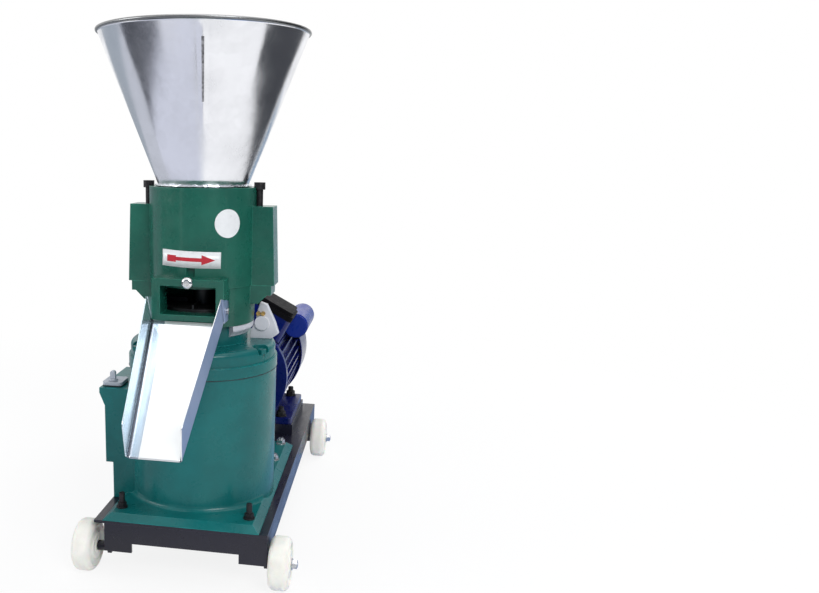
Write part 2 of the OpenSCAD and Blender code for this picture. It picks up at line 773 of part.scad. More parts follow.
// Lid casting: flange, round body with bolt pockets, and the tower for the upper bearing
module gearbox_lid() color([0.13, 0.38, 0.36]) placed() difference() {
    union() {
        translate([0, 0, lid_z]) cylinder(h = lid_flange_t, r = lid_flange_r);
        translate([0, 0, lid_z - lid_spigot]) cylinder(h = lid_spigot, r = box_in - hole_gap);
        rotate_extrude() union() {
            translate([0, lid_z]) square([lid_r, lid_top - lid_round - lid_z]);
            translate([0, lid_z]) square([lid_r - lid_round, lid_top - lid_z]);
            translate([lid_r - lid_round, lid_top - lid_round]) circle(r = lid_round);
        }
        translate([0, 0, lid_z]) cylinder(h = tower_top - lid_z, r = tower_r);
    }
    translate([0, 0, lid_z - lid_spigot - overrun])
        cylinder(h = lid_top - lid_roof - lid_z + lid_spigot + overrun, r = box_in - box_wall);
    translate([0, 0, lid_z]) cylinder(h = tower_top - lid_z, r = upper_journal_r + 2 * lid_spigot);
    translate([0, 0, upper_bearing_z]) cylinder(h = tower_top - upper_bearing_z + overrun,
        r = upper_bearing_r);
    for (i = [0 : lid_bolts_n - 1]) rotate([0, 0, (i + lid_turn_share) * 360 / lid_bolts_n])
        translate([lid_bolt_r, 0, lid_z]) {
            translate([0, 0, lid_seat]) cylinder(h = lid_top - lid_z, r = lid_pocket_r);
            translate([0, 0, -overrun]) cylinder(h = lid_seat + 2 * overrun,
                r = lid_bolt_d / 2 + hole_gap);
        }
}

module lid_bolts() color([0.1, 0.3, 0.28]) placed() for (i = [0 : lid_bolts_n - 1])
    rotate([0, 0, (i + lid_turn_share) * 360 / lid_bolts_n]) translate([lid_bolt_r, 0, lid_z]) {
        translate([0, 0, lid_seat]) hexagon(lid_bolt_d * nut_share, lid_bolt_d * nut_h_share);
        translate([0, 0, -lid_bolt_d * 2]) cylinder(h = lid_seat + lid_bolt_d * 2,
            r = lid_bolt_d / 2);
    }

// The place of the filler cover and its gasket, and the hole for the dipstick
module cover_plate(z, t) difference() {
    rounded_plate([-cover_x - cover_w / 2, -cover_y - cover_len / 2, z],
        [cover_w / 2 - cover_x, cover_len / 2 - cover_y, z + t], cover_t);
    translate([-dip_x, -dip_y, z - overrun]) cylinder(h = t + 2 * overrun, r = dip_d / 2 + seat_gap);
}

module filler_cover() color([0.75, 0.76, 0.8]) placed() cover_plate(oil_top + gasket_t, cover_t);
module cover_gasket() color([0.05, 0.06, 0.08]) placed() cover_plate(oil_top, gasket_t);

// Dipstick with a round-topped finger grip, a collar on the cover and a rod into the oil
module oil_dipstick() color([0.75, 0.76, 0.8]) placed()
    translate([-dip_x, -dip_y, oil_top + gasket_t + cover_t + seat_gap]) {
        cylinder(h = collar_h, r = collar_r);
        translate([0, grip_t / 2, collar_h]) rotate([90, 0, 0]) linear_extrude(grip_t) union() {
            translate([-grip_w / 2, 0]) square([grip_w, grip_h - grip_w / 2]);
            translate([0, grip_h - grip_w / 2]) circle(d = grip_w);
        }
        translate([0, 0, -dip_len]) cylinder(h = dip_len, r = dip_d / 2);
    }

module drain_plug() color([0.7, 0.71, 0.73]) placed() rotate([0, 0, drain_turn]) translate([0, 0, drain_z]) {
    bar_x(box_in, box_r + hole_gap, drain_d / 2);
    translate([box_r + hole_gap, 0, 0]) rotate([0, 90, 0]) {
        cylinder(h = overrun * 2, r = drain_d * 0.8);
        translate([0, 0, overrun * 2]) hexagon(drain_d * 1.2, drain_d / 2);
    }
}

// Housing for the pinion's two bearings, with a flange, a spigot and a nose
module pinion_housing() color([0.13, 0.38, 0.36]) placed() translate([0, 0, drive_z]) difference() {
    union() {
        bar_y(pinion_spigot_y, pinion_pad_y, pinion_spigot_r);
        bar_y(pinion_pad_y, pinion_pad_y + pinion_flange_t, pinion_flange_r);
        bar_y(pinion_pad_y, pinion_nose_y, pinion_nose_r);
    }
    bar_y(pinion_spigot_y - overrun, pinion_nose_y + overrun, bearing_r - bearing_boss_wall / 2);
    bar_y(pinion_spigot_y - overrun, pinion_spigot_y + bearing_w + bearing_boss_wall / 2, bearing_r);
    bar_y(pinion_nose_y - bearing_w - bearing_boss_wall / 2, pinion_nose_y + overrun, bearing_r);
    for (a = [45 : 90 : 315]) rotate([0, a, 0]) translate([pinion_bolt_r, 0, 0])
        bar_y(pinion_pad_y - overrun, pinion_pad_y + pinion_flange_t + overrun,
            pinion_bolt_d / 2 + hole_gap);
}

module pinion_housing_bolts() color([0.75, 0.76, 0.78]) placed() translate([0, 0, drive_z])
    for (a = [45 : 90 : 315]) rotate([0, a, 0]) translate([pinion_bolt_r, 0, 0]) {
        bar_y(box_in + pinion_bolt_d, pinion_pad_y + pinion_flange_t, pinion_bolt_d / 2);
        translate([0, pinion_pad_y + pinion_flange_t, 0]) rotate([-90, 0, 0])
            hexagon(pinion_bolt_d * nut_share, pinion_bolt_d * nut_h_share);
    }

// Stepped main shaft: lower journal, gear seat, upper journal, die seat and thread
module main_shaft() color([0.7, 0.7, 0.72]) placed() {
    translate([0, 0, shaft_foot]) cylinder(h = crown_hub_z - shaft_foot, r = journal_r);
    translate([0, 0, crown_hub_z]) cylinder(h = upper_bearing_z - crown_hub_z, r = shaft_r);
    translate([0, 0, upper_bearing_z]) cylinder(h = upper_bearing_w + 2 * overrun, r = upper_journal_r);
    translate([0, 0, upper_bearing_z + upper_bearing_w])
        cylinder(h = die_top - upper_bearing_z - upper_bearing_w, r = shaft_r);
    translate([0, 0, die_top]) cylinder(h = thread_top - die_top, r = thread_r);
}

// One straight tooth lying along +X from its inner to its outer end
module tooth(depth, height) rotate([90, 0, 90]) linear_extrude(tooth_len) polygon([
    [-tooth_root_half, -depth], [tooth_root_half, -depth],
    [tooth_tip_half, height], [-tooth_tip_half, height]]);

// Crown bevel gear: a turned blank, its root face sloping with the pitch cone, and its teeth
module crown_gear() color([0.55, 0.55, 0.56]) placed() difference() {
    union() {
        translate([0, 0, drive_z]) rotate_extrude() polygon([
            [0, crown_hub_z - drive_z], [crown_hub_r, crown_hub_z - drive_z],
            [crown_hub_r, crown_back_z - drive_z], [crown_r - tooth_ded, crown_back_z - drive_z],
            [crown_r - tooth_ded * sin(pitch_angle), -pinion_r - tooth_ded * cos(pitch_angle)],
            [crown_r * gear_inner_share - tooth_ded * sin(pitch_angle),
                -pinion_r * gear_inner_share - tooth_ded * cos(pitch_angle)],
            [crown_hub_r, -pinion_r * gear_inner_share - tooth_ded * 2], [0, -pinion_r - tooth_ded]]);
        for (i = [0 : crown_teeth - 1]) rotate([0, 0, 90 + (i + 0.5) * 360 / crown_teeth])
            translate([0, 0, drive_z]) rotate([0, pitch_angle, 0])
                translate([norm([crown_r, pinion_r]) - tooth_len, 0, 0])
                    tooth(tooth_ded + tooth_add / 2, tooth_add);
    }
    translate([0, 0, crown_hub_z - overrun]) cylinder(h = drive_z - crown_hub_z, r = shaft_r);
}

// One rolling bearing as a ring with a sealed groove on both faces
module bearing(r_out, r_in, w) difference() {
    ring(r_out, r_in, w);
    for (z = [-overrun, w - overrun]) translate([0, 0, z])
        ring((r_out * 3 + r_in) / 4, (r_out + r_in * 3) / 4, 2 * overrun);
}

module main_bearings() color([0.8, 0.81, 0.83]) placed() {
    translate([0, 0, plate_top + seat_gap]) bearing(bearing_r, journal_r + run_gap, bearing_w);
    translate([0, 0, upper_bearing_z]) bearing(upper_bearing_r, upper_journal_r + run_gap,
        upper_bearing_w);
}

// Pinion cut on the end of its shaft
module pinion_shaft() color([0.7, 0.7, 0.72]) placed() translate([0, 0, drive_z]) {
    bar_y(crown_r * gear_inner_share - tooth_add, pinion_nose_y + coupling_len, journal_r);
    rotate([-90, 0, 0]) rotate_extrude() polygon([
        [0, crown_r * gear_inner_share + tooth_ded * sin(pitch_angle)],
        [pinion_r * gear_inner_share - tooth_ded * cos(pitch_angle),
            crown_r * gear_inner_share + tooth_ded * sin(pitch_angle)],
        [pinion_r - tooth_ded * cos(pitch_angle), crown_r + tooth_ded * sin(pitch_angle)],
        [0, crown_r + tooth_ded * sin(pitch_angle)]]);
    for (i = [0 : pinion_teeth - 1]) rotate([0, i * 360 / pinion_teeth, 0]) rotate([0, 0, 90])
        rotate([0, pitch_angle, 0]) translate([norm([crown_r, pinion_r]) - tooth_len, 0, 0])
            rotate([180, 0, 0]) tooth(tooth_ded + tooth_add / 2, tooth_add);
}

module pinion_bearings() color([0.8, 0.81, 0.83]) placed() translate([0, 0, drive_z])
    for (y = [pinion_spigot_y, pinion_nose_y - bearing_w]) translate([0, y, 0])
        rotate([-90, 0, 0]) bearing(bearing_r, journal_r + run_gap, bearing_w);

// Two coupling hubs with pockets for the buffers
module coupling_hubs() color([0.35, 0.36, 0.38]) placed() translate([0, 0, drive_z]) difference() {
    union() {
        ring_y(coupling_y1, coupling_y2, coupling_r, journal_r);
        ring_y(coupling_y3, coupling_y3 + coupling_len, coupling_r, motor_shaft_r);
    }
    for (i = [0 : buffers_n - 1]) rotate([0, i * 360 / buffers_n, 0]) translate([buffer_circle_r, 0, 0])
        bar_y(coupling_y1 + coupling_len / 3, coupling_y3 + coupling_len * 2 / 3, buffer_r);
}

module coupling_buffers() color([0.05, 0.05, 0.05]) placed() translate([0, 0, drive_z])
    for (i = [0 : buffers_n - 1]) rotate([0, i * 360 / buffers_n, 0]) translate([buffer_circle_r, 0, 0])
        bar_y(coupling_y1 + coupling_len / 3, coupling_y3 + coupling_len * 2 / 3, buffer_r);

// Motor casing: finned barrel, two legs with feet, and saddles for the capacitor
module motor_body() color([0.05, 0.1, 0.42]) placed() difference() {
    union() {
        translate([0, barrel_y, drive_z]) rotate([-90, 0, 0]) linear_extrude(barrel_len) {
            circle(r = barrel_r);
            for (i = [0 : fins_n - 1]) rotate(i * 360 / fins_n)
                translate([barrel_r - fin_t, -fin_t / 2]) square([fin_h + fin_t, fin_t]);
        }
        for (side = [-1, 1]) translate([side * foot_pitch_x / 2, motor_y, motor_foot_z])
            rounded_plate([-foot_w / 2, -foot_len / 2, 0], [foot_w / 2, foot_len / 2, foot_t],
                foot_t / 2);
        for (side = [-1, 1]) translate([side * leg_x, motor_y, motor_foot_z])
            block([-leg_t / 2, -leg_half, 0], [leg_t / 2, leg_half, leg_h]);
        for (y = saddle_places) translate([0, y, drive_z]) rotate([0, 90 - can_angle, 0])
            block([-saddle_w / 2, 0, barrel_r - fin_t], [saddle_w / 2, saddle_t, can_axis_r]);
    }
    translate([0, 0, drive_z]) bar_y(barrel_y - overrun, barrel_end + overrun, stator_r);
    translate([0, 0, drive_z]) rotate([0, 90 - can_angle, 0]) translate([0, 0, can_axis_r])
        bar_y(can_y - overrun, can_y + can_len + overrun, can_r + run_gap);
    for (p = motor_places) translate([p[0], p[1], motor_foot_z - overrun])
        cylinder(h = foot_t + 2 * overrun, r = motor_bolt_d / 2 + hole_gap);
}

// An end shield as a turned cover with a boss inside for its bearing
module end_shield(rim_r) rotate_extrude() difference() {
    union() {
        square([rim_r, shield_t]);
        square([nose_r, shield_t + shield_lip]);
        translate([0, -nose_h]) square([nose_r, nose_h + shield_t]);
    }
    translate([0, -nose_h - overrun]) square([motor_shaft_r + 2 * overrun,
        shield_t + nose_h + shield_lip + 2 * overrun]);
    translate([0, shield_t + shield_lip - motor_bearing_w])
        square([motor_bearing_r, motor_bearing_w + overrun]);
}

module front_end_shield() color([0.05, 0.1, 0.42]) placed() translate([0, motor_front, drive_z])
    rotate([-90, 0, 0]) end_shield(fin_r);

module rear_end_shield() color([0.05, 0.1, 0.42]) placed() translate([0, barrel_end + shield_t, drive_z])
    rotate([90, 0, 0]) end_shield(cowl_r - cowl_t);

module stator_core() color([0.45, 0.45, 0.47]) placed() translate([0, 0, drive_z])
    ring_y(barrel_y + (barrel_len - rotor_len) / 2, barrel_y + (barrel_len + rotor_len) / 2, stator_r,
        rotor_r + air_gap);

module rotor_shaft() color([0.6, 0.6, 0.62]) placed() translate([0, 0, drive_z]) {
    bar_y(coupling_y3, barrel_end + shield_t + nose_h + fan_w + fan_hub_r / 2, motor_shaft_r);
    bar_y(barrel_y + (barrel_len - rotor_len) / 2, barrel_y + (barrel_len + rotor_len) / 2, rotor_r);
}

module motor_bearings() color([0.8, 0.81, 0.83]) placed() translate([0, 0, drive_z])
    for (y = [barrel_y + shield_lip - motor_bearing_w, barrel_end - shield_lip]) translate([0, y, 0])
        rotate([-90, 0, 0]) bearing(motor_bearing_r, motor_shaft_r + run_gap, motor_bearing_w);

// Radial fan behind the rear end shield
module cooling_fan() color([0.1, 0.1, 0.1]) placed()
    translate([0, barrel_end + shield_t + nose_h + fan_hub_r / 4, drive_z]) difference() {
        union() {
            bar_y(0, fan_w, fan_hub_r);
            bar_y(0, fan_t, fan_r * 0.8);
            for (i = [0 : fan_blades_n - 1]) rotate([0, i * 360 / fan_blades_n, 0])
                block([fan_hub_r - fan_t, 0, -fan_t / 2], [fan_r, fan_w, fan_t / 2]);
        }
        bar_y(-overrun, fan_w + overrun, motor_shaft_r);
    }

// A round cup with a rounded far edge, standing on the XY plane
module cup(r, h, edge) rotate_extrude() {
    square([r, h - edge]);
    square([r - edge, h]);
    translate([r - edge, h - edge]) intersection() {
        circle(r = edge);
        square(edge);
    }
}

module fan_cover() color([0.1, 0.18, 0.5]) placed() translate([0, barrel_end - cowl_lap, drive_z])
    rotate([-90, 0, 0]) {
    length = motor_rear - barrel_end + cowl_lap;
    difference() {
        cup(cowl_r, length, cowl_round);
        translate([0, 0, -overrun]) cup(cowl_r - cowl_t, length - cowl_t + overrun, cowl_round - cowl_t);
        for (i = [0 : cowl_slots_n - 1]) rotate([0, 0, i * 360 / cowl_slots_n])
            block([cowl_hub_r, -cowl_slot_w / 2, length - cowl_t - overrun],
                [cowl_r - cowl_round - cowl_t, cowl_slot_w / 2, length + overrun]);
    }
}

// Puts a piece on the terminal box's seat, its Z pointing out from the motor's axis
module on_barrel() translate([0, tbox_y, drive_z]) rotate([0, tbox_angle, 0]) children();

module terminal_box() color([0.05, 0.1, 0.42]) placed() difference() {
    on_barrel() rounded_plate([-tbox_w / 2, -tbox_len / 2, tbox_base],
        [tbox_w / 2, tbox_len / 2, tbox_base + tbox_h], tbox_round);
    translate([0, 0, drive_z]) bar_y(motor_front, barrel_end, fin_r + run_gap);
}

module terminal_cover() color([0.06, 0.05, 0.06]) placed() on_barrel()
    translate([0, 0, tbox_base + tbox_h]) {
    rounded_plate([-tbox_w / 2 - overrun, -tbox_len / 2 - overrun, 0],
        [tbox_w / 2 + overrun, tbox_len / 2 + overrun, tcover_h * 0.6], tbox_round);
    rounded_plate([-tbox_w / 2 + tbox_wall, -tbox_len / 2 + tbox_wall, 0],
        [tbox_w / 2 - tbox_wall, tbox_len / 2 - tbox_wall, tcover_h], tbox_round);
}

// Empty cable gland on the side of the terminal box away from the capacitor
module cable_gland() color([0.06, 0.06, 0.07]) placed() on_barrel()
    translate([-tbox_w / 2, 0, tbox_base + tbox_h / 2 + tbox_wall]) rotate([0, -90, 0]) difference() {
        union() {
            hexagon(gland_r * 2, gland_len * 0.4);
            cylinder(h = gland_len * 0.7, r = gland_r * 0.9);
            translate([0, 0, gland_len * 0.7])
                cylinder(h = gland_len * 0.3, r1 = gland_r * 0.9, r2 = gland_r * 0.6);
        }
        translate([0, 0, gland_len * 0.3]) cylinder(h = gland_len, r = gland_r * 0.45);
    }

module capacitor() color([0.1, 0.15, 0.5]) placed() translate([0, can_y, drive_z])
    rotate([0, 90 - can_angle, 0])
    translate([0, 0, can_axis_r]) rotate([-90, 0, 0]) {
        cup(can_r, can_len, can_round);
        translate([0, 0, -can_round]) cylinder(h = can_round, r = can_r - can_round / 2);
    }

// Lower casing: a pot with a square outlet box in front and two ears at the joint
module discharge_casing() color([0.1, 0.36, 0.3]) placed() difference() {
    union() {
        translate([0, 0, tower_top]) cylinder(h = split_z - tower_top, r = lower_r);
        block([-outlet_half, -outlet_y, outlet_low], [outlet_half, 0, split_z]);
        block([-outlet_half, -outlet_y, outlet_low], [outlet_half, -upper_in, outlet_high]);
        for (side = [0, 1]) mirror([side, 0, 0]) translate([0, wing_half, 0]) rotate([90, 0, 0])
            linear_extrude(2 * wing_half) polygon([
                [lower_in, split_z], [ear_out, split_z], [ear_out, ear_low], [ear_out - ear_toe, ear_low],
                [ear_out - ear_toe - ear_diag, ear_low - ear_diag], [lower_in, ear_low - ear_diag]]);
    }
    translate([0, 0, tower_top + lower_floor]) cylinder(h = split_z - tower_top, r = lower_in);
    translate([0, 0, tower_top - overrun]) cylinder(h = lower_floor + 2 * overrun,
        r = shaft_r + seat_gap);
    translate([0, 0, split_z]) cylinder(h = outlet_high - split_z + overrun, r = upper_r + run_gap);
    block([-mouth_half, -outlet_y - overrun, mouth_low], [mouth_half, -lower_in / 2, mouth_high]);
    translate([0, 0, outlet_screw_z]) bar_y(-outlet_y - overrun, -upper_in, outlet_screw_r + run_gap);
    for (side = [-1, 1]) translate([0, -chute_screw_y, chute_screw_z])
        bar_x(side > 0 ? mouth_half + chute_t : -outlet_half - overrun,
            side > 0 ? outlet_half + overrun : -mouth_half - chute_t, chute_screw_r + run_gap);
    translate([0, 0, knife_z + knife_t / 2]) bar_y(lower_in - overrun, lower_r + overrun,
        knife_screw_r + run_gap);
}

// Slinger disc with four low ribs that throw the pellets out
module slinger_disc() color([0.45, 0.46, 0.48]) placed() difference() {
    union() {
        translate([0, 0, slinger_z]) cylinder(h = slinger_t, r = slinger_r);
        translate([0, 0, tower_top + lower_floor + overrun * 2])
            cylinder(h = slinger_z - tower_top - lower_floor - overrun * 2, r = slinger_hub_r);
        for (a = [0 : 90 : 270]) rotate([0, 0, a])
            block([slinger_hub_r, -slinger_t / 4, slinger_z],
                [slinger_r, slinger_t / 4, slinger_z + slinger_t * 2]);
    }
    translate([0, 0, tower_top]) cylinder(h = die_low - tower_top, r = shaft_r);
}

// Flat die with rings of holes, the holes of each ring a like distance apart
module die() color([0.5, 0.5, 0.52]) placed() difference() {
    translate([0, 0, die_low]) cylinder(h = die_t, r = die_d / 2);
    translate([0, 0, die_low - overrun]) cylinder(h = die_t + 2 * overrun, r = shaft_r);
    for (r = [die_ring_r : die_ring_step : die_d / 2 - die_hole_d * 2]) {
        n = floor(2 * PI * r / (die_hole_d * 2));
        for (i = [0 : n - 1]) rotate([0, 0, i * 360 / n]) translate([r, 0, die_low - overrun])
            cylinder(h = die_t + 2 * overrun, r = die_hole_d / 2, $fn = 24);
    }
}

module die_nut() color([0.5, 0.5, 0.52]) placed() translate([0, 0, die_top]) difference() {
    hexagon(thread_r * 3.2, die_nut_h);
    translate([0, 0, -overrun]) cylinder(h = die_nut_h + 2 * overrun, r = thread_r);
}

// Cutter under the die, held by a screw through the casing's rear wall
module cutter_knife() color([0.6, 0.6, 0.62]) placed() {
    intersection() {
        block([-knife_w / 2, knife_r1, knife_z], [knife_w / 2, lower_in + overrun, knife_z + knife_t]);
        translate([0, 0, knife_z]) cylinder(h = knife_t, r = lower_in);
    }
    translate([0, 0, knife_z + knife_t / 2]) {
        bar_y(lower_in - overrun * 2, lower_r + overrun, knife_screw_r);
        bar_y(lower_r, lower_r + knife_screw_r, knife_screw_r * 1.4);
    }
}

// Upper casing with a hollow wing on each side for the ends of the roller shaft
module roller_casing() color([0.1, 0.36, 0.3]) placed() difference() {
    union() {
        translate([0, 0, split_z]) cylinder(h = casing_top - split_z, r = upper_r);
        for (side = [0, 1]) mirror([side, 0, 0]) translate([0, wing_half, 0]) rotate([90, 0, 0])
            linear_extrude(2 * wing_half) polygon([
                [upper_in, split_z], [wing_low_x, split_z], [wing_top_x, wing_top],
                    [upper_in, wing_top]]);
    }
    translate([0, 0, split_z - overrun]) cylinder(h = casing_top - split_z + 2 * overrun, r = upper_in);
    for (side = [0, 1]) mirror([side, 0, 0]) {
        block([0, -wing_cavity_half, roller_z - roller_shaft_r - side_gap],
            [wing_cavity_x, wing_cavity_half, wing_top - upper_wall - roller_lift * 2]);
        translate([screw_x, 0, roller_z]) cylinder(h = casing_top - roller_z + overrun,
            r = screw_r + run_gap);
        translate([screw_x, 0, screw_head_z - seat_gap])
            cylinder(h = casing_top - screw_head_z + seat_gap + overrun, r = screw_head_r + seat_gap);
    }
    block([-notch_w / 2, -upper_r - overrun, outlet_high],
        [notch_w / 2, notch_depth - upper_r, outlet_high + notch_h]);
    translate([0, 0, outlet_screw_z]) bar_y(-upper_r - overrun, 2 * overrun - upper_in,
        outlet_screw_r + run_gap);
}

// Round-headed screw that ties the outlet box to the upper casing
module outlet_screw() color([0.85, 0.85, 0.86]) placed() translate([0, 0, outlet_screw_z]) {
    bar_y(-outlet_y, -upper_in - overrun * 2, outlet_screw_r);
    translate([0, -outlet_y, 0]) rotate([90, 0, 0])
        cup(outlet_head_r, outlet_head_h, outlet_head_h * 0.7);
}

// Roller shaft with its middle boss and outer collars, and flats under the two screws
module roller_shaft() color([0.6, 0.6, 0.62]) placed() translate([0, 0, roller_z]) {
    inner = roller_x - roller_w / 2 - side_gap;
    outer = roller_x + roller_w / 2 + side_gap;
    bar_x(-roller_shaft_end, roller_shaft_end, roller_shaft_r);
    bar_x(-inner, inner, roller_collar_r);
    bar_x(outer, outer + roller_collar_w, roller_collar_r);
    bar_x(-outer - roller_collar_w, -outer, roller_collar_r);
}

// A grooved press roller
module roller(side) color([0.5, 0.5, 0.52]) placed() translate([side * roller_x, 0, roller_z])
    difference() {
    bar_x(-roller_w / 2, roller_w / 2, roller_r);
    bar_x(-roller_w / 2 - overrun, roller_w / 2 + overrun, roller_shaft_r + run_gap);
    for (i = [0 : roller_grooves - 1]) rotate([(i + 0.5) * 360 / roller_grooves, 0, 0])
        translate([0, 0, roller_r])
        rotate([0, 90, 0]) cylinder(h = roller_w + 2 * overrun, r = groove_r, center = true, $fn = 16);
}

module roller_left() roller(-1);
module roller_right() roller(1);

// Socket-head screw that presses one end of the roller shaft down
module adjusting_screw(side) color([0.06, 0.06, 0.07]) placed() translate([side * screw_x, 0, 0])
    difference() {
    union() {
        translate([0, 0, screw_tip_z + seat_gap]) cylinder(h = screw_head_z - screw_tip_z, r = screw_r);
        translate([0, 0, screw_head_z]) cylinder(h = screw_head_h, r = screw_head_r);
    }
    translate([0, 0, screw_head_z + screw_head_h / 2]) hexagon(screw_d * socket_share, screw_head_h);
}

module adjusting_screw_left() adjusting_screw(-1);
module adjusting_screw_right() adjusting_screw(1);

// Sheet hopper: spigot, seat flange, cone with a rolled rim and one lock seam
module hopper() color([0.82, 0.83, 0.85]) placed() {
    spigot_r = upper_in - seat_gap * 2;
    seat_z = casing_top + seat_gap;
    cone_z = seat_z + hopper_t * 2;
    cone_top = hopper_top - rim_r;
    lean = atan((hopper_r - hopper_low_r) / (cone_top - cone_z));
    rotate_extrude() {
        translate([spigot_r - hopper_t, seat_z - spigot_h]) square([hopper_t, spigot_h + hopper_t]);
        translate([spigot_r - hopper_t, seat_z])
            square([hopper_low_r + hopper_t * 2 - spigot_r, hopper_t]);
        translate([hopper_low_r - hopper_t, seat_z]) square([hopper_t, cone_z - seat_z]);
        polygon([[hopper_low_r - hopper_t, cone_z], [hopper_low_r, cone_z],
            [hopper_r, cone_top], [hopper_r - hopper_t, cone_top]]);
        translate([hopper_r, cone_top]) circle(r = rim_r);
    }
    translate([-seam_w / 2, hopper_t / 4 - hopper_low_r, cone_z])
        rotate([lean, 0, 0]) translate([0, -seam_t, hopper_t])
            cube([seam_w, seam_t, (cone_top - cone_z) / cos(lean) - rim_r * 2]);
}

// Folded chute: a tapering floor, two side walls cut back at the tip, and cheeks on the outlet box
module chute() color([0.85, 0.87, 0.9]) placed() difference() {
    turn = atan((chute_top_half - chute_tip) / chute_len);
    wall_len = chute_len / cos(turn);
    union() {
        translate([0, -chute_y0, chute_z0]) rotate([chute_slope, 0, 0]) rotate([0, 0, -90]) {
            translate([0, 0, -chute_t]) linear_extrude(chute_t) polygon([
                [0, -chute_top_half - chute_t / 2], [chute_len, -chute_tip - chute_t / 2],
                [chute_len, chute_tip + chute_t / 2], [0, chute_top_half + chute_t / 2]]);
            for (side = [0, 1]) mirror([0, side, 0]) translate([0, chute_top_half + chute_t, 0])
                rotate([90, 0, -turn]) linear_extrude(chute_t) polygon([
                    [-chute_t * 3, -chute_t], [wall_len, -chute_t], [wall_len, chute_tip_h],
                    [wall_len * chute_cut_share, chute_wall], [-chute_rise, chute_wall]]);
        }
        for (side = [0, 1]) mirror([side, 0, 0]) translate([outlet_half + run_gap, 0, 0]) rotate([90, 0, 90])
            linear_extrude(chute_t) polygon([
                [chute_t - chute_y0, chute_z0], [cheek_back - outlet_y, chute_z0],
                [cheek_back - outlet_y, chute_z0 + cheek_h],
                [chute_rise * cos(chute_slope) - chute_y0 - chute_wall * sin(chute_slope),
                    chute_z0 + chute_rise * sin(chute_slope) + chute_wall * cos(chute_slope)]]);
    }
    for (side = [0, 1]) mirror([side, 0, 0]) translate([0, -chute_screw_y, chute_screw_z])
        bar_x(outlet_half - overrun, outlet_half + chute_t * 3, chute_screw_r + run_gap);
}

module chute_screws() color([0.8, 0.81, 0.83]) placed() for (side = [0, 1]) mirror([side, 0, 0])
    translate([0, -chute_screw_y, chute_screw_z]) {
        bar_x(mouth_half + chute_t * 2, outlet_half + chute_t + run_gap * 2, chute_screw_r);
        bar_x(outlet_half + chute_t + run_gap * 2, outlet_half + chute_t + chute_screw_r,
            chute_screw_r * 1.8);
    }

// Cast bracket between the lid and the lower casing, with a round boss
module side_bracket() color([0.75, 0.76, 0.8]) placed() difference() {
    union() {
        translate([0, bracket_y + bracket_t, 0]) rotate([90, 0, 0]) linear_extrude(bracket_t) polygon([
            [tower_r + bracket_gap, lid_top], [lid_r - lid_round, lid_top],
                [lid_r + bracket_nose, lid_top + bracket_low],
            [lid_r - bracket_gap, lid_top + bracket_mid],
                [lower_r + bracket_t * 1.4, lid_top + bracket_h - bracket_gap],
            [lower_r + bracket_t * 0.6, lid_top + bracket_h],
                [lower_r + bracket_gap / 2, lid_top + bracket_mid * 1.4],
            [lower_r + bracket_gap / 2, tower_top - bracket_gap],
                [tower_r + bracket_gap, lid_top + bracket_low * 1.4]]);
        block([tower_r + bracket_gap, bracket_back - overrun, lid_top],
            [lid_r - lid_round, bracket_back + bracket_foot, lid_top + bracket_t / 2]);
        translate([lid_r - bracket_t * 1.8, 0, lid_top + bracket_mid * 0.9])
            bar_y(bracket_y - bracket_gap, bracket_y + overrun, bracket_boss_r);
    }
    translate([bracket_screw_x, bracket_back + bracket_foot / 2, lid_top - overrun])
        cylinder(h = bracket_t, r = bracket_screw_r + hole_gap);
    for (x = brass_places) translate([x, 0, brass_z])
        bar_y(bracket_y - overrun, bracket_y + bracket_t / 2, bracket_screw_r / 2 + hole_gap);
}

module bracket_screws() color([0.72, 0.56, 0.25]) placed() {
    translate([bracket_screw_x, bracket_back + bracket_foot / 2, lid_top]) {
        cylinder(h = bracket_t / 2, r = bracket_screw_r);
        translate([0, 0, bracket_t / 2]) hexagon(bracket_screw_r * 3.2, bracket_screw_r * 1.6);
    }
    for (x = brass_places) translate([x, 0, brass_z]) {
        bar_y(bracket_y, bracket_y + bracket_t / 2, bracket_screw_r / 2);
        bar_y(bracket_y - bracket_screw_r, bracket_y, bracket_screw_r * 0.8);
    }
}

left_rail();
right_rail();
front_apron();
rear_apron();
cross_bars();
motor_pads();
wheel_front_left();
wheel_front_right();
wheel_rear_left();
wheel_rear_right();
axle_bolts();
axle_nuts();
anchor_studs();
plate_bolts();
motor_bolts();
gearbox_housing();
gearbox_lid();
lid_bolts();
filler_cover();
cover_gasket();
oil_dipstick();
drain_plug();
pinion_housing();
pinion_housing_bolts();
main_shaft();
crown_gear();
main_bearings();
pinion_shaft();
pinion_bearings();
coupling_hubs();
coupling_buffers();
motor_body();
front_end_shield();
rear_end_shield();
stator_core();
rotor_shaft();
motor_bearings();
cooling_fan();
fan_cover();
terminal_box();
terminal_cover();
cable_gland();
capacitor();
discharge_casing();
slinger_disc();
die();
die_nut();
cutter_knife();
roller_casing();
outlet_screw();
roller_shaft();
roller_left();
roller_right();
adjusting_screw_left();
adjusting_screw_right();
hopper();
chute();
chute_screws();
side_bracket();
bracket_screws();
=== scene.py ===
import math

import bpy
import numpy as np
from mathutils import Matrix, Vector


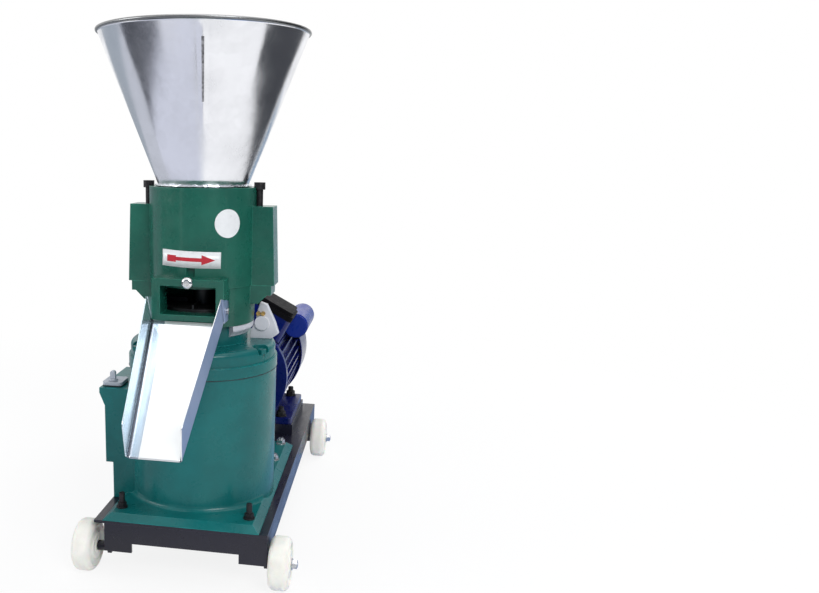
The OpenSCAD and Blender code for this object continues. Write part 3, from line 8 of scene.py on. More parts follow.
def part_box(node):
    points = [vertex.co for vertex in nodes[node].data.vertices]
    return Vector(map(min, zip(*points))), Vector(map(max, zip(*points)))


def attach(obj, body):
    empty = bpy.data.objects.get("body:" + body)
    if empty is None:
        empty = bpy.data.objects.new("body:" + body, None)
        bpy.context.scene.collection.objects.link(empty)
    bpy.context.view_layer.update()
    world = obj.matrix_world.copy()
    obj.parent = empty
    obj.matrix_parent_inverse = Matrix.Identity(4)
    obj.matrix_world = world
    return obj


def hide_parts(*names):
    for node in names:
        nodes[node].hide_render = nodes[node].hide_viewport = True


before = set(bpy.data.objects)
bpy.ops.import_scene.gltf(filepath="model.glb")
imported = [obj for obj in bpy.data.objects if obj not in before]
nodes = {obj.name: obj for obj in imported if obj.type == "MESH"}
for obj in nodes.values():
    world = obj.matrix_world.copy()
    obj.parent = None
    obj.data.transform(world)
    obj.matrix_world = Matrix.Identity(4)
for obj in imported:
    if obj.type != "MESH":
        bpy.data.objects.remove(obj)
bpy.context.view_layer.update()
scene = bpy.context.scene
print("frame loaded:", len(nodes), "nodes")

# the main shaft's place along the machine, in metres
dieLow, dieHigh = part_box("die")
shaftY = dieLow.y + (dieHigh.y - dieLow.y) / 2


# the photo's camera, placed by angles and distances from the main shaft
cameraSettings = {
    "azimuth": 13.32,        # degrees, to the right of straight ahead
    "distance": 1.2156,      # level distance from the main shaft
    "height": 0.5942,
    "yaw": -2.993,           # degrees, turned right of the main shaft
    "pitch": 12.677,         # degrees downwards
    "roll": 0.758,
    "focalPixels": 828.3,
    "shift": (0.2, 0.0543),  # shares of the picture's width
    "imageWidth": 819,
    "sensor": 36.0,          # millimetres
    "clip": (0.01, 40),      # metres
}


def placeCamera(s):
    # right, up and forward from azimuth, yaw, pitch and roll, as for a camera on a tripod
    a, w, p, r = (math.radians(s[k]) for k in ("azimuth", "yaw", "pitch", "roll"))
    level = Vector((-math.sin(a + w), math.cos(a + w), 0))
    side = Vector((math.cos(a + w), math.sin(a + w), 0))
    above = Vector((0, 0, 1))
    forward = level * math.cos(p) - above * math.sin(p)
    up = above * math.cos(p) + level * math.sin(p)
    right = side * math.cos(r) + up * math.sin(r)
    up = up * math.cos(r) - side * math.sin(r)
    place = Vector((math.sin(a) * s["distance"], shaftY - math.cos(a) * s["distance"], s["height"]))
    data = bpy.data.cameras.new("viewCamera")
    data.sensor_width = s["sensor"]
    data.sensor_fit = "HORIZONTAL"
    data.lens = s["sensor"] * s["focalPixels"] / s["imageWidth"]
    data.shift_x, data.shift_y = s["shift"]
    data.clip_start, data.clip_end = s["clip"]
    camera = bpy.data.objects.new("viewCamera", data)
    camera.matrix_world = Matrix((
        (right.x, up.x, -forward.x, place.x),
        (right.y, up.y, -forward.y, place.y),
        (right.z, up.z, -forward.z, place.z),
        (0, 0, 0, 1)))
    scene.collection.objects.link(camera)
    scene.camera = camera


placeCamera(cameraSettings)
scene.view_settings.view_transform = "Standard"
print("camera placed")


class Finish:
    # a Principled material with short calls for the nodes that feed it

    def __init__(self, name, colour, metallic=0.0, rough=0.5, **sockets):
        self.material = bpy.data.materials.new(name)
        self.material.use_nodes = True
        self.tree = self.material.node_tree
        self.shader = self.tree.nodes["Principled BSDF"]
        self.shader.inputs["Base Color"].default_value = (*colour, 1)
        self.shader.inputs["Metallic"].default_value = metallic
        self.shader.inputs["Roughness"].default_value = rough
        for key, value in sockets.items():
            self.shader.inputs[key.replace("_", " ")].default_value = value
        self.coords = self.tree.nodes.new("ShaderNodeTexCoord").outputs["Object"]
        self.soft = None

    def node(self, kind, **values):
        made = self.tree.nodes.new(kind)
        for key, value in values.items():
            if hasattr(made, key):
                setattr(made, key, value)
            else:
                made.inputs[key.replace("_", " ")].default_value = value
        return made

    def join(self, source, target):
        self.tree.links.new(source, target)

    def stretched(self, scale, turn=(0, 0, 0)):
        mapping = self.node("ShaderNodeMapping")
        mapping.inputs["Scale"].default_value = scale
        mapping.inputs["Rotation"].default_value = turn
        self.join(self.coords, mapping.inputs["Vector"])
        return mapping.outputs["Vector"]

    def noise(self, scale, detail=4.0, rough=0.55, stretch=None):
        # scale is in waves per metre
        made = self.node("ShaderNodeTexNoise", Scale=scale, Detail=detail, Roughness=rough)
        self.join(self.stretched(stretch) if stretch else self.coords, made.inputs["Vector"])
        return made.outputs["Fac"]

    def ramp(self, source, stops):
        # stops are (place, colour) pairs, and there are two or more
        made = self.node("ShaderNodeValToRGB")
        bar = made.color_ramp
        while len(bar.elements) < len(stops):
            bar.elements.new(0.5)
        for element, (place, colour) in zip(bar.elements, stops):
            element.position = place
            element.color = (*colour, 1)
        self.join(source, made.inputs["Fac"])
        return made.outputs["Color"]

    def spread(self, source, low, high, fromLow=0.3, fromHigh=0.7):
        # maps fromLow to fromHigh, where noise mostly lies, onto low to high
        made = self.node("ShaderNodeMapRange", From_Min=fromLow, From_Max=fromHigh, To_Min=low,
                         To_Max=high)
        self.join(source, made.inputs["Value"])
        return made.outputs["Result"]

    def blend(self, factor, first, second, mode="MIX"):
        # each value is a socket, a number or a plain colour
        made = self.node("ShaderNodeMix", data_type="RGBA", blend_type=mode)
        slots = [s for s in made.inputs if s.enabled]
        for value, socket in zip((factor, first, second), slots):
            if isinstance(value, (int, float)):
                socket.default_value = value
            elif isinstance(value, tuple):
                socket.default_value = (*value, 1)
            else:
                self.join(value, socket)
        return [s for s in made.outputs if s.enabled][0]

    def maths(self, operation, first, second):
        made = self.node("ShaderNodeMath", operation=operation)
        for value, socket in ((first, made.inputs[0]), (second, made.inputs[1])):
            if isinstance(value, (int, float)):
                socket.default_value = value
            else:
                self.join(value, socket)
        return made.outputs["Value"]

    def colour(self, source):
        self.join(source, self.shader.inputs["Base Color"])

    def rough(self, source):
        self.join(source, self.shader.inputs["Roughness"])

    def edges(self, radius):
        # rounds sharp edges in the shading, radius in metres, and gives a mask that is 1 along them
        self.soft = self.node("ShaderNodeBevel", Radius=radius, samples=6)
        geometry = self.node("ShaderNodeNewGeometry")
        dot = self.node("ShaderNodeVectorMath", operation="DOT_PRODUCT")
        self.join(self.soft.outputs["Normal"], dot.inputs[0])
        self.join(geometry.outputs["Normal"], dot.inputs[1])
        return self.spread(dot.outputs["Value"], 1.0, 0.0, 0.88, 0.98)

    def bump(self, *layers):
        # each layer is (height source, strength, distance in metres), laid over the one before
        last = self.soft.outputs["Normal"] if self.soft else None
        for source, strength, distance in layers:
            made = self.node("ShaderNodeBump", Strength=strength, Distance=distance)
            self.join(source, made.inputs["Height"])
            if last:
                self.join(last, made.inputs["Normal"])
            last = made.outputs["Normal"]
        self.join(last, self.shader.inputs["Normal"])


def shade(colour, share):
    # the colour made darker or lighter
    return tuple(min(1.0, c * share) for c in colour)


def castEnamel(name, colour, deep, coarse=0.0006, coat=0.3, shine=0.35):
    # thick glossy enamel over a sand casting: slow waves, orange peel and a little dust
    f = Finish(name, colour, rough=0.3, Coat_Weight=coat, Coat_Roughness=0.12, Specular_IOR_Level=shine)
    rubbed = f.edges(0.0016)
    slow = f.noise(14, 3)
    peel = f.noise(260, 2, 0.6)
    sand = f.noise(900, 3, 0.7)
    dust = f.noise(38, 6, 0.65)
    base = f.ramp(slow, [(0.3, deep), (0.72, colour)])
    dusty = f.blend(f.spread(dust, 0.0, 0.22, 0.55, 0.8), base, shade(colour, 1.55))
    worn = f.maths("MULTIPLY", rubbed, f.spread(dust, 0.1, 0.75, 0.35, 0.65))
    f.colour(f.blend(worn, dusty, shade(colour, 2.6)))
    f.rough(f.spread(dust, 0.24, 0.4, 0.35, 0.75))
    f.bump((slow, 0.35, coarse * 4), (peel, 0.25, coarse * 0.6), (sand, 0.12, coarse * 0.3))
    return f.material


def sheetEnamel(name, colour, deep, gloss):
    # sprayed paint on rolled steel: flat, with faint orange peel, scuffs and dusty patches
    f = Finish(name, colour, rough=gloss, Coat_Weight=0.15, Coat_Roughness=0.2, Specular_IOR_Level=0.35)
    rubbed = f.edges(0.001)
    slow = f.noise(9, 4)
    scuff = f.noise(60, 8, 0.7, stretch=(1, 0.25, 1))
    scuffed = f.blend(f.spread(scuff, 0.0, 0.3, 0.6, 0.8), f.ramp(slow, [(0.3, deep), (0.7, colour)]),
                      shade(colour, 2.2))
    f.colour(f.blend(f.maths("MULTIPLY", rubbed, f.spread(scuff, 0.05, 0.7, 0.4, 0.65)), scuffed,
                     shade(colour, 3.0)))
    f.rough(f.spread(scuff, gloss - 0.05, gloss + 0.2, 0.4, 0.75))
    f.bump((f.noise(420, 2), 0.12, 0.0003), (scuff, 0.06, 0.0002))
    return f.material


def galvanisedSheet(name, colour, gloss, spangle):
    # hot-dip zinc on thin sheet: soft crystals, rolling lines and faint stains
    f = Finish(name, colour, metallic=1.0, rough=gloss)
    cutEdge = f.edges(0.0006)
    cells = f.node("ShaderNodeTexVoronoi", Scale=spangle, Randomness=1.0)
    f.join(f.coords, cells.inputs["Vector"])
    grain = f.spread(cells.outputs["Color"], 0.86, 1.0, 0.0, 1.0)
    stain = f.noise(11, 6, 0.6)
    lines = f.noise(30, 3, 0.5, stretch=(30, 30, 1))
    tone = f.blend(f.spread(stain, 0.0, 0.55, 0.45, 0.75), colour, shade(colour, 0.78))
    f.colour(f.blend(f.maths("MULTIPLY", cutEdge, 0.5), f.blend(0.35, tone, grain, "MULTIPLY"),
                     shade(colour, 0.55)))
    f.rough(f.maths("ADD", f.spread(stain, gloss - 0.04, gloss + 0.14, 0.35, 0.75),
                    f.spread(lines, -0.03, 0.05)))
    f.bump((stain, 0.25, 0.0012), (lines, 0.04, 0.0002))
    return f.material


def brightSheet(name, colour, gloss=0.14, metallic=0.55):
    # new zinc sheet, half mirror and half pale bloom, with rolling lines and handling marks
    f = Finish(name, colour, metallic=metallic, rough=gloss)
    cutEdge = f.edges(0.0005)
    bloom = f.noise(16, 5, 0.6)
    lines = f.noise(26, 3, 0.5, stretch=(40, 1, 1))
    marks = f.noise(140, 7, 0.7, stretch=(1, 0.3, 0.3))
    tone = f.blend(f.spread(bloom, 0.0, 0.4, 0.45, 0.8), colour, shade(colour, 0.93))
    marked = f.blend(f.spread(marks, 0.0, 0.35, 0.62, 0.85), tone, shade(colour, 0.72))
    f.colour(f.blend(f.maths("MULTIPLY", cutEdge, 0.6), marked, shade(colour, 0.6)))
    f.rough(f.maths("ADD", f.spread(bloom, gloss, gloss + 0.1, 0.35, 0.75),
                    f.spread(lines, -0.03, 0.04)))
    f.bump((bloom, 0.15, 0.0008), (lines, 0.03, 0.0001))
    return f.material


def platedSteel(name, colour, rough=0.28, wear=0.6):
    # bright zinc or blackened hardware with rubbed patches
    f = Finish(name, colour, metallic=1.0, rough=rough)
    f.edges(0.0005)
    patch = f.noise(180, 5, 0.6)
    f.colour(f.ramp(patch, [(0.3, shade(colour, wear)), (0.65, colour)]))
    f.rough(f.spread(patch, rough + 0.14, rough - 0.06))
    f.bump((f.noise(1200, 3), 0.15, 0.0001), (patch, 0.1, 0.0002))
    return f.material


def blackedSteel(name, colour):
    # oily black oxide: dark, half glossy, with brownish rubbed spots
    f = Finish(name, colour, metallic=0.55, rough=0.38, Specular_IOR_Level=0.6)
    f.edges(0.0005)
    patch = f.noise(240, 6, 0.65)
    f.colour(f.ramp(patch, [(0.35, colour), (0.62, shade(colour, 1.8)), (0.8, (0.09, 0.07, 0.055))]))
    f.rough(f.spread(patch, 0.3, 0.55))
    f.bump((f.noise(1500, 2), 0.2, 0.0001))
    return f.material


def turnedSteel(name, colour, axis, rough=0.24):
    # lathe rings across the given axis, with oil-darkened hollows
    f = Finish(name, colour, metallic=1.0, rough=rough)
    stretch = [1.0, 1.0, 1.0]
    stretch["XYZ".index(axis)] = 60.0
    rings = f.noise(26, 2, 0.5, stretch=tuple(stretch))
    stain = f.noise(45, 5, 0.6)
    f.colour(f.ramp(stain, [(0.25, shade(colour, 0.62)), (0.7, colour)]))
    f.rough(f.maths("ADD", f.spread(stain, rough, rough + 0.12), f.spread(rings, -0.05, 0.07)))
    f.bump((rings, 0.12, 0.0002))
    return f.material


def castSteel(name, colour):
    # rough dark casting with machined faces worn brighter
    f = Finish(name, colour, metallic=0.85, rough=0.5)
    sand = f.noise(520, 5, 0.7)
    patch = f.noise(30, 4)
    f.colour(f.ramp(patch, [(0.3, shade(colour, 0.6)), (0.75, colour)]))
    f.rough(f.spread(sand, 0.38, 0.62))
    f.bump((sand, 0.4, 0.0003))
    return f.material


def mouldedNylon(name, colour):
    # slightly see-through off-white plastic, scuffed and greyed where it rolls
    f = Finish(name, colour, rough=0.42, Subsurface_Weight=0.2, Subsurface_Scale=0.004,
               Specular_IOR_Level=0.45)
    soft = f.noise(30, 5, 0.6)
    specks = f.noise(300, 4, 0.7)
    base = f.ramp(soft, [(0.3, shade(colour, 0.86)), (0.7, colour)])
    f.colour(f.blend(f.spread(specks, 0.0, 0.35, 0.6, 0.8), base, (0.42, 0.40, 0.36)))
    f.rough(f.spread(soft, 0.36, 0.55))
    f.bump((specks, 0.12, 0.0002), (soft, 0.12, 0.0006))
    return f.material


def plainPlastic(name, colour, rough, texture=700, depth=0.00015, shine=0.5):
    # moulded plastic or rubber with a fine even grain
    f = Finish(name, colour, rough=rough, Specular_IOR_Level=shine)
    grain = f.noise(texture, 3, 0.6)
    soft = f.noise(25, 4)
    f.colour(f.ramp(soft, [(0.3, shade(colour, 0.7)), (0.7, shade(colour, 1.25))]))
    f.rough(f.spread(grain, rough - 0.06, rough + 0.1))
    f.bump((grain, 0.3, depth))
    return f.material


def printedFilm(name, colour):
    # printed vinyl film: nearly flat, with a few creases and a faint tint
    rough = 0.3
    f = Finish(name, colour, rough=rough, Coat_Weight=0.3, Coat_Roughness=0.2)
    crease = f.noise(70, 4)
    f.colour(f.ramp(crease, [(0.3, shade(colour, 0.9)), (0.7, colour)]))
    f.rough(f.spread(crease, rough - 0.05, rough + 0.1))
    f.bump((crease, 0.1, 0.0003))
    return f.material


# colours are linear, read off as paint under soft white light
finishes = {
    "casingGreen": castEnamel("casingGreen", (0.010, 0.118, 0.082), (0.006, 0.078, 0.056), 0.0013),
    "gearboxTeal": castEnamel("gearboxTeal", (0.005, 0.140, 0.140), (0.003, 0.100, 0.102), 0.0009,
                              0.14, 0.24),
    "motorNavy": castEnamel("motorNavy", (0.001, 0.005, 0.120), (0.0006, 0.003, 0.075), 0.0004),
    "canBlue": sheetEnamel("canBlue", (0.006, 0.026, 0.270), (0.003, 0.018, 0.200), 0.3),
    "frameBlack": sheetEnamel("frameBlack", (0.010, 0.010, 0.022), (0.007, 0.007, 0.015), 0.3),
    "paleGrey": sheetEnamel("paleGrey", (0.42, 0.46, 0.52), (0.34, 0.38, 0.44), 0.35),
    "bracketGrey": castEnamel("bracketGrey", (0.62, 0.63, 0.68), (0.50, 0.51, 0.57)),
    "hopperZinc": galvanisedSheet("hopperZinc", (0.90, 0.91, 0.95), 0.16, 60),
    "chuteZinc": brightSheet("chuteZinc", (0.90, 0.92, 0.93)),
    # painted reflections on the chute's inner side: pale blue on the left wall, dim blue on the floor
    # strip beside it, dark in the folds
    "wallPaintedReflection": brightSheet("wallPaintedReflection", (0.72, 0.86, 0.93), 0.12, 0.85),
    "stripPaintedReflection": brightSheet("stripPaintedReflection", (0.50, 0.57, 0.66), 0.12, 0.8),
    "foldPaintedReflection": platedSteel("foldPaintedReflection", (0.20, 0.22, 0.27), 0.2, 0.85),
    # painted shade on the chute's outer faces
    "chuteOuterPaintedShade": brightSheet("chuteOuterPaintedShade", (0.185, 0.25, 0.41), 0.3, 0.25),
    "beadZinc": galvanisedSheet("beadZinc", (0.80, 0.82, 0.86), 0.2, 70),
    # painted shade on the hopper's rolled rim
    "rimPaintedShade": galvanisedSheet("rimPaintedShade", (0.24, 0.245, 0.25), 0.26, 70),
    # painted shadow beside the hopper's lap seam
    "seamPaintedShadow": platedSteel("seamPaintedShadow", (0.46, 0.46, 0.48), 0.4, 0.16),
    "brightZinc": platedSteel("brightZinc", (0.70, 0.71, 0.73)),
    "chrome": platedSteel("chromeDome", (0.86, 0.86, 0.87), 0.08, 0.9),
    "brass": platedSteel("brassScrews", (0.72, 0.47, 0.16), 0.22, 0.6),
    "blackOxide": blackedSteel("blackOxide", (0.016, 0.015, 0.017)),
    "turnedUpright": turnedSteel("turnedUpright", (0.52, 0.52, 0.53), "Z"),
    "turnedLengthwise": turnedSteel("turnedLengthwise", (0.52, 0.52, 0.53), "Y"),
    "turnedAcross": turnedSteel("turnedAcross", (0.50, 0.50, 0.51), "X"),
    "oiledUpright": turnedSteel("oiledUpright", (0.10, 0.10, 0.105), "Z", 0.42),
    "castIron": castSteel("castIron", (0.20, 0.20, 0.21)),
    "bearingSteel": platedSteel("bearingSteel", (0.74, 0.75, 0.77), 0.14, 0.8),
    "nylon": mouldedNylon("wheelNylon", (0.90, 0.89, 0.83)),
    "bufferRubber": plainPlastic("bufferRubber", (0.02, 0.02, 0.02), 0.7),
    "gasketSheet": plainPlastic("gasketSheet", (0.018, 0.02, 0.026), 0.55),
    "coverBlack": plainPlastic("coverBlack", (0.005, 0.0045, 0.006), 0.5, 160, 0.0002, 0.06),
    "fanBlack": plainPlastic("fanBlack", (0.02, 0.02, 0.02), 0.5),
    "labelWhite": printedFilm("labelWhite", (0.78, 0.80, 0.82)),
    "arrowRed": printedFilm("arrowRed", (0.50, 0.012, 0.028)),
}

# the CAD nodes that take each finish
nodeFinishes = {
    "casingGreen": "discharge_casing roller_casing",
    "gearboxTeal": "gearbox_housing gearbox_lid lid_bolts pinion_housing",
    "motorNavy": "motor_body front_end_shield rear_end_shield fan_cover terminal_box",
    "canBlue": "capacitor",
    "frameBlack": "left_rail right_rail front_apron rear_apron cross_bars motor_pads",
    "paleGrey": "filler_cover oil_dipstick",
    "bracketGrey": "side_bracket",
    "hopperZinc": "hopper",
    "chuteZinc": "chute",
    "brightZinc": "axle_bolts axle_nuts plate_bolts drain_plug pinion_housing_bolts chute_screws",
    "chrome": "outlet_screw",
    "brass": "bracket_screws",
    "blackOxide": "anchor_studs motor_bolts adjusting_screw_left adjusting_screw_right cable_gland",
    "turnedUpright": "crown_gear",
    "oiledUpright": "main_shaft slinger_disc die die_nut cutter_knife",
    "turnedLengthwise": "pinion_shaft rotor_shaft",
    "turnedAcross": "roller_shaft roller_left roller_right",
    "castIron": "coupling_hubs stator_core",
    "bearingSteel": "main_bearings pinion_bearings motor_bearings",
    "nylon": "wheel_front_left wheel_front_right wheel_rear_left wheel_rear_right",
    "bufferRubber": "coupling_buffers",
    "gasketSheet": "cover_gasket",
    "coverBlack": "terminal_cover",
    "fanBlack": "cooling_fan",
}

finished = set()
for finishName, names in nodeFinishes.items():
    for name in names.split():
        nodes[name].data.materials.clear()
        nodes[name].data.materials.append(finishes[finishName])
        finished.add(name)
print("finishes laid on", len(finished), "of", len(nodes), "nodes")
print("nodes left over:", sorted(set(nodes) - finished))

# surfaces are drawn in millimetres and placed in metres
mm = 0.001


def putMesh(name, points, faces, finish, body, smooth=True):
    # points is an n by 3 array in metres in the machine's frame, faces a list or array of polygons
    mesh = bpy.data.meshes.new(name)
    mesh.from_pydata(points.tolist(), [], [list(f) for f in faces])
    mesh.polygons.foreach_set("use_smooth", np.full(len(mesh.polygons), smooth))
    mesh.materials.append(finishes[finish])
    mesh.update()
    piece = bpy.data.objects.new(name, mesh)
    scene.collection.objects.link(piece)
    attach(piece, body)
    return piece


def gridFaces(rows, columns, closeRows=False, closeColumns=False, start=0):
    # quads between neighbouring rows and columns of a grid, wrapped round where it is closed
    row, column = np.meshgrid(np.arange(rows if closeRows else rows - 1),
                              np.arange(columns if closeColumns else columns - 1), indexing="ij")
    above = (row + 1) % rows
    right = (column + 1) % columns
    quads = np.stack([row * columns + column, row * columns + right,
                      above * columns + right, above * columns + column], -1)
    return quads.reshape(-1, 4) + start


def onShaft(points):
    # moves points drawn in millimetres round the main shaft's foot into the machine's frame, in metres
    return points * mm + np.array([0, shaftY, 0])


def aroundShaft(radius, turn, height):
    # points on rings round the main shaft, turn in radians to the right of straight ahead
    return np.stack(np.broadcast_arrays(radius * np.sin(turn), -radius * np.cos(turn), height), -1)


def ripples(waves, turn, share=0):
    # waves are (count round the shaft, phase, climb with the share, size)
    return sum(size * np.sin(count * turn + phase + climb * share) for count, phase, climb, size in waves)


print("helpers ready")


# the spun hopper: its profile runs up the inside, round the rolled rim and down the outside
hopperSizes = {
    "lowRadius": 65.5,
    "coneFoot": 551.7,
    "mouthRadius": 147.0,
    "rimHeight": 757.5,
    "rimRadius": 2.4,
    "rimWalk": (200, -110, 22),   # degrees round the rim's circle, from and to, and points on the way
    "sheet": 1.2,
    "columns": 240,
    "evenRows": (0, 0.975, 38),   # shares of the cone's height, from and to, and their number
    "closeRows": (0.983, 0.99, 1),
    "foot": [
        # radius and height of the flange and spigot, down the outside and up the inside
        (65.5, 551.3),
        (65.9, 550.5),
        (67.7, 550.5),
        (67.9, 549.9),
        (67.7, 549.3),
        (63.5, 549.3),
        (63.4, 548.9),
        (63.4, 537.4),
        (62.2, 537.4),
        (62.2, 550.1),
    ],
    "dent": 0.5,                  # depth of the hand-made waves in the sheet
    "dentFade": 0.7,              # how fast they fade out at the foot and the rim
    "dents": [(3, 1.1, 2, 0.5), (5, 0, -6, 0.3), (11, 0.6, 9, 0.2)],   # as ripples takes them
    "seamTurn": 12.75,            # degrees right of straight ahead
    "seamWidth": 6.0,
    "seamHeight": 0.9,
    "seamSquareness": 8,
    "seamFoot": 0.35,             # share of the cone's height where the seam starts
    "seamGrowth": 0.2,            # share over which it grows
    "seamTop": 0.985,
    "seamDecay": 0.02,
    "seamShadowSpan": (0.53, 0.9),      # shares of the height between which the lap's painted shadow shows as a dark line
}


def makeHopper(s):
    tall = s["rimHeight"] - s["coneFoot"]
    wide = s["mouthRadius"] - s["lowRadius"]
    lean = math.atan2(wide, tall)
    # the rows stand closer under the rim, so that its curve doesn't bend the shading of the cone
    rows = np.append(np.linspace(*s["evenRows"]), s["closeRows"])
    inner = np.column_stack([s["lowRadius"] - s["sheet"] + wide * rows, s["coneFoot"] + tall * rows])
    # the rim is walked from just inside the cone, over the top and back under the outside
    walk = np.radians(np.linspace(*s["rimWalk"]))
    rim = np.column_stack([s["mouthRadius"] + s["rimRadius"] * np.cos(walk),
                           s["rimHeight"] + s["rimRadius"] * np.sin(walk)])
    outer = inner[::-1] + [s["sheet"], 0]
    # the cone's last inner row and first two outer ones give way to the rim
    profile = np.concatenate([inner[:-1], rim, outer[2:], s["foot"]])
    rimStart = len(inner) - 1
    rimEnd = rimStart + len(rim)
    outside = np.zeros(len(profile))
    outside[rimEnd:rimEnd + len(outer) - 2] = 1
    turn = np.linspace(-math.pi, math.pi, s["columns"], endpoint=False)
    share = np.clip((profile[:, 1] - s["coneFoot"]) / tall, 0, 1)[:, None]
    push = s["dent"] * np.sin(np.pi * share) ** s["dentFade"] * ripples(s["dents"], turn, share)
    # the seam stands out only on the outer face and dies away below the middle
    across = (turn - math.radians(s["seamTurn"])) * profile[:, :1] / (s["seamWidth"] / 2)
    seam = (s["seamHeight"] * np.exp(-across ** s["seamSquareness"])
            * np.clip((share - s["seamFoot"]) / s["seamGrowth"], 0, 1)
            * np.clip((s["seamTop"] - share) / s["seamDecay"], 0, 1))
    push = push + seam * outside[:, None]
    radius = profile[:, :1] + push * math.cos(lean)
    height = profile[:, 1:] - push * math.sin(lean)
    points = aroundShaft(radius, turn, height).reshape(-1, 3)
    faces = gridFaces(len(profile), s["columns"], True, True)
    piece = putMesh("spunHopper", onShaft(points), faces, "hopperZinc", "feed_hopper")
    for other in ("rimPaintedShade", "seamPaintedShadow"):
        piece.data.materials.append(finishes[other])
    # the rolled rim is duller than the sheet and darkened as a painted shade, and one column beside the
    # seam is darkened as a painted shadow of its lap
    row, column = np.divmod(np.arange(len(faces)), s["columns"])
    halfColumn = math.pi / s["columns"]
    lineFoot, lineTop = s["seamShadowSpan"]
    up = share[row, 0]
    rolled = (row > rimStart) & (row < rimEnd - 1)
    beside = np.abs(turn[column] + halfColumn - math.radians(s["seamTurn"])) < halfColumn
    seamShadowed = beside & (outside[row] > 0) & (up > lineFoot) & (up < lineTop)
    piece.data.polygons.foreach_set("material_index", rolled + 2 * seamShadowed)
    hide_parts("hopper")


makeHopper(hopperSizes)
print("hopper made")


# the chute: one zinc sheet folded up at both sides, with cheeks that reach back along the outlet
chuteSizes = {
    "slope": 40.6,          # degrees below level
    "back": 96.0,           # from the shaft to the sheet's upper edge
    "height": 368.0,
    "length": 216.0,
    "topHalf": 51.05,
    "tipHalf": 35.0,
    "wall": 42.0,
    "tipWall": 6.0,
    "cutShare": 0.9,        # where along the sheet the walls begin to drop to the tip
    "rise": 8.0,            # how far the walls' top corners reach back past the sheet
    "fold": 5.5,            # inner radius of the folds
    "sheet": 1.1,
    "cheekBack": 69.0,
    "cheekHeight": 28.0,
    "cheekRows": 5,
    "cheekShares": [0, 0.06, 0.4, 0.7, 0.97, 1],
    "wave": 0.35,           # slow waves pressed into the floor
    "waveHalves": 2.2,      # half waves along the sheet
    "wavePhase": 0.4,
    "bodyRows": 30,
    "tipRows": 8,
    "wallShares": [1, 0.985, 0.75, 0.5, 0.25, 0.02],         # of the wall's height, from its top down
    "foldPoints": 11,
    "floorShares": [0.015, 0.15, 0.3, 0.5, 0.7, 0.85, 1],    # from the fold to the floor's middle
    # columns of faces from the left wall's top on, first and past the last, with a finish of their own: a
    # painted dark reflection in the folds, painted reflections on the left wall and on the strip of floor
    # beside it
    "foldColumns": (8, 13),
    "wallColumns": (0, 8),
    "stripColumns": (13, 19),
}


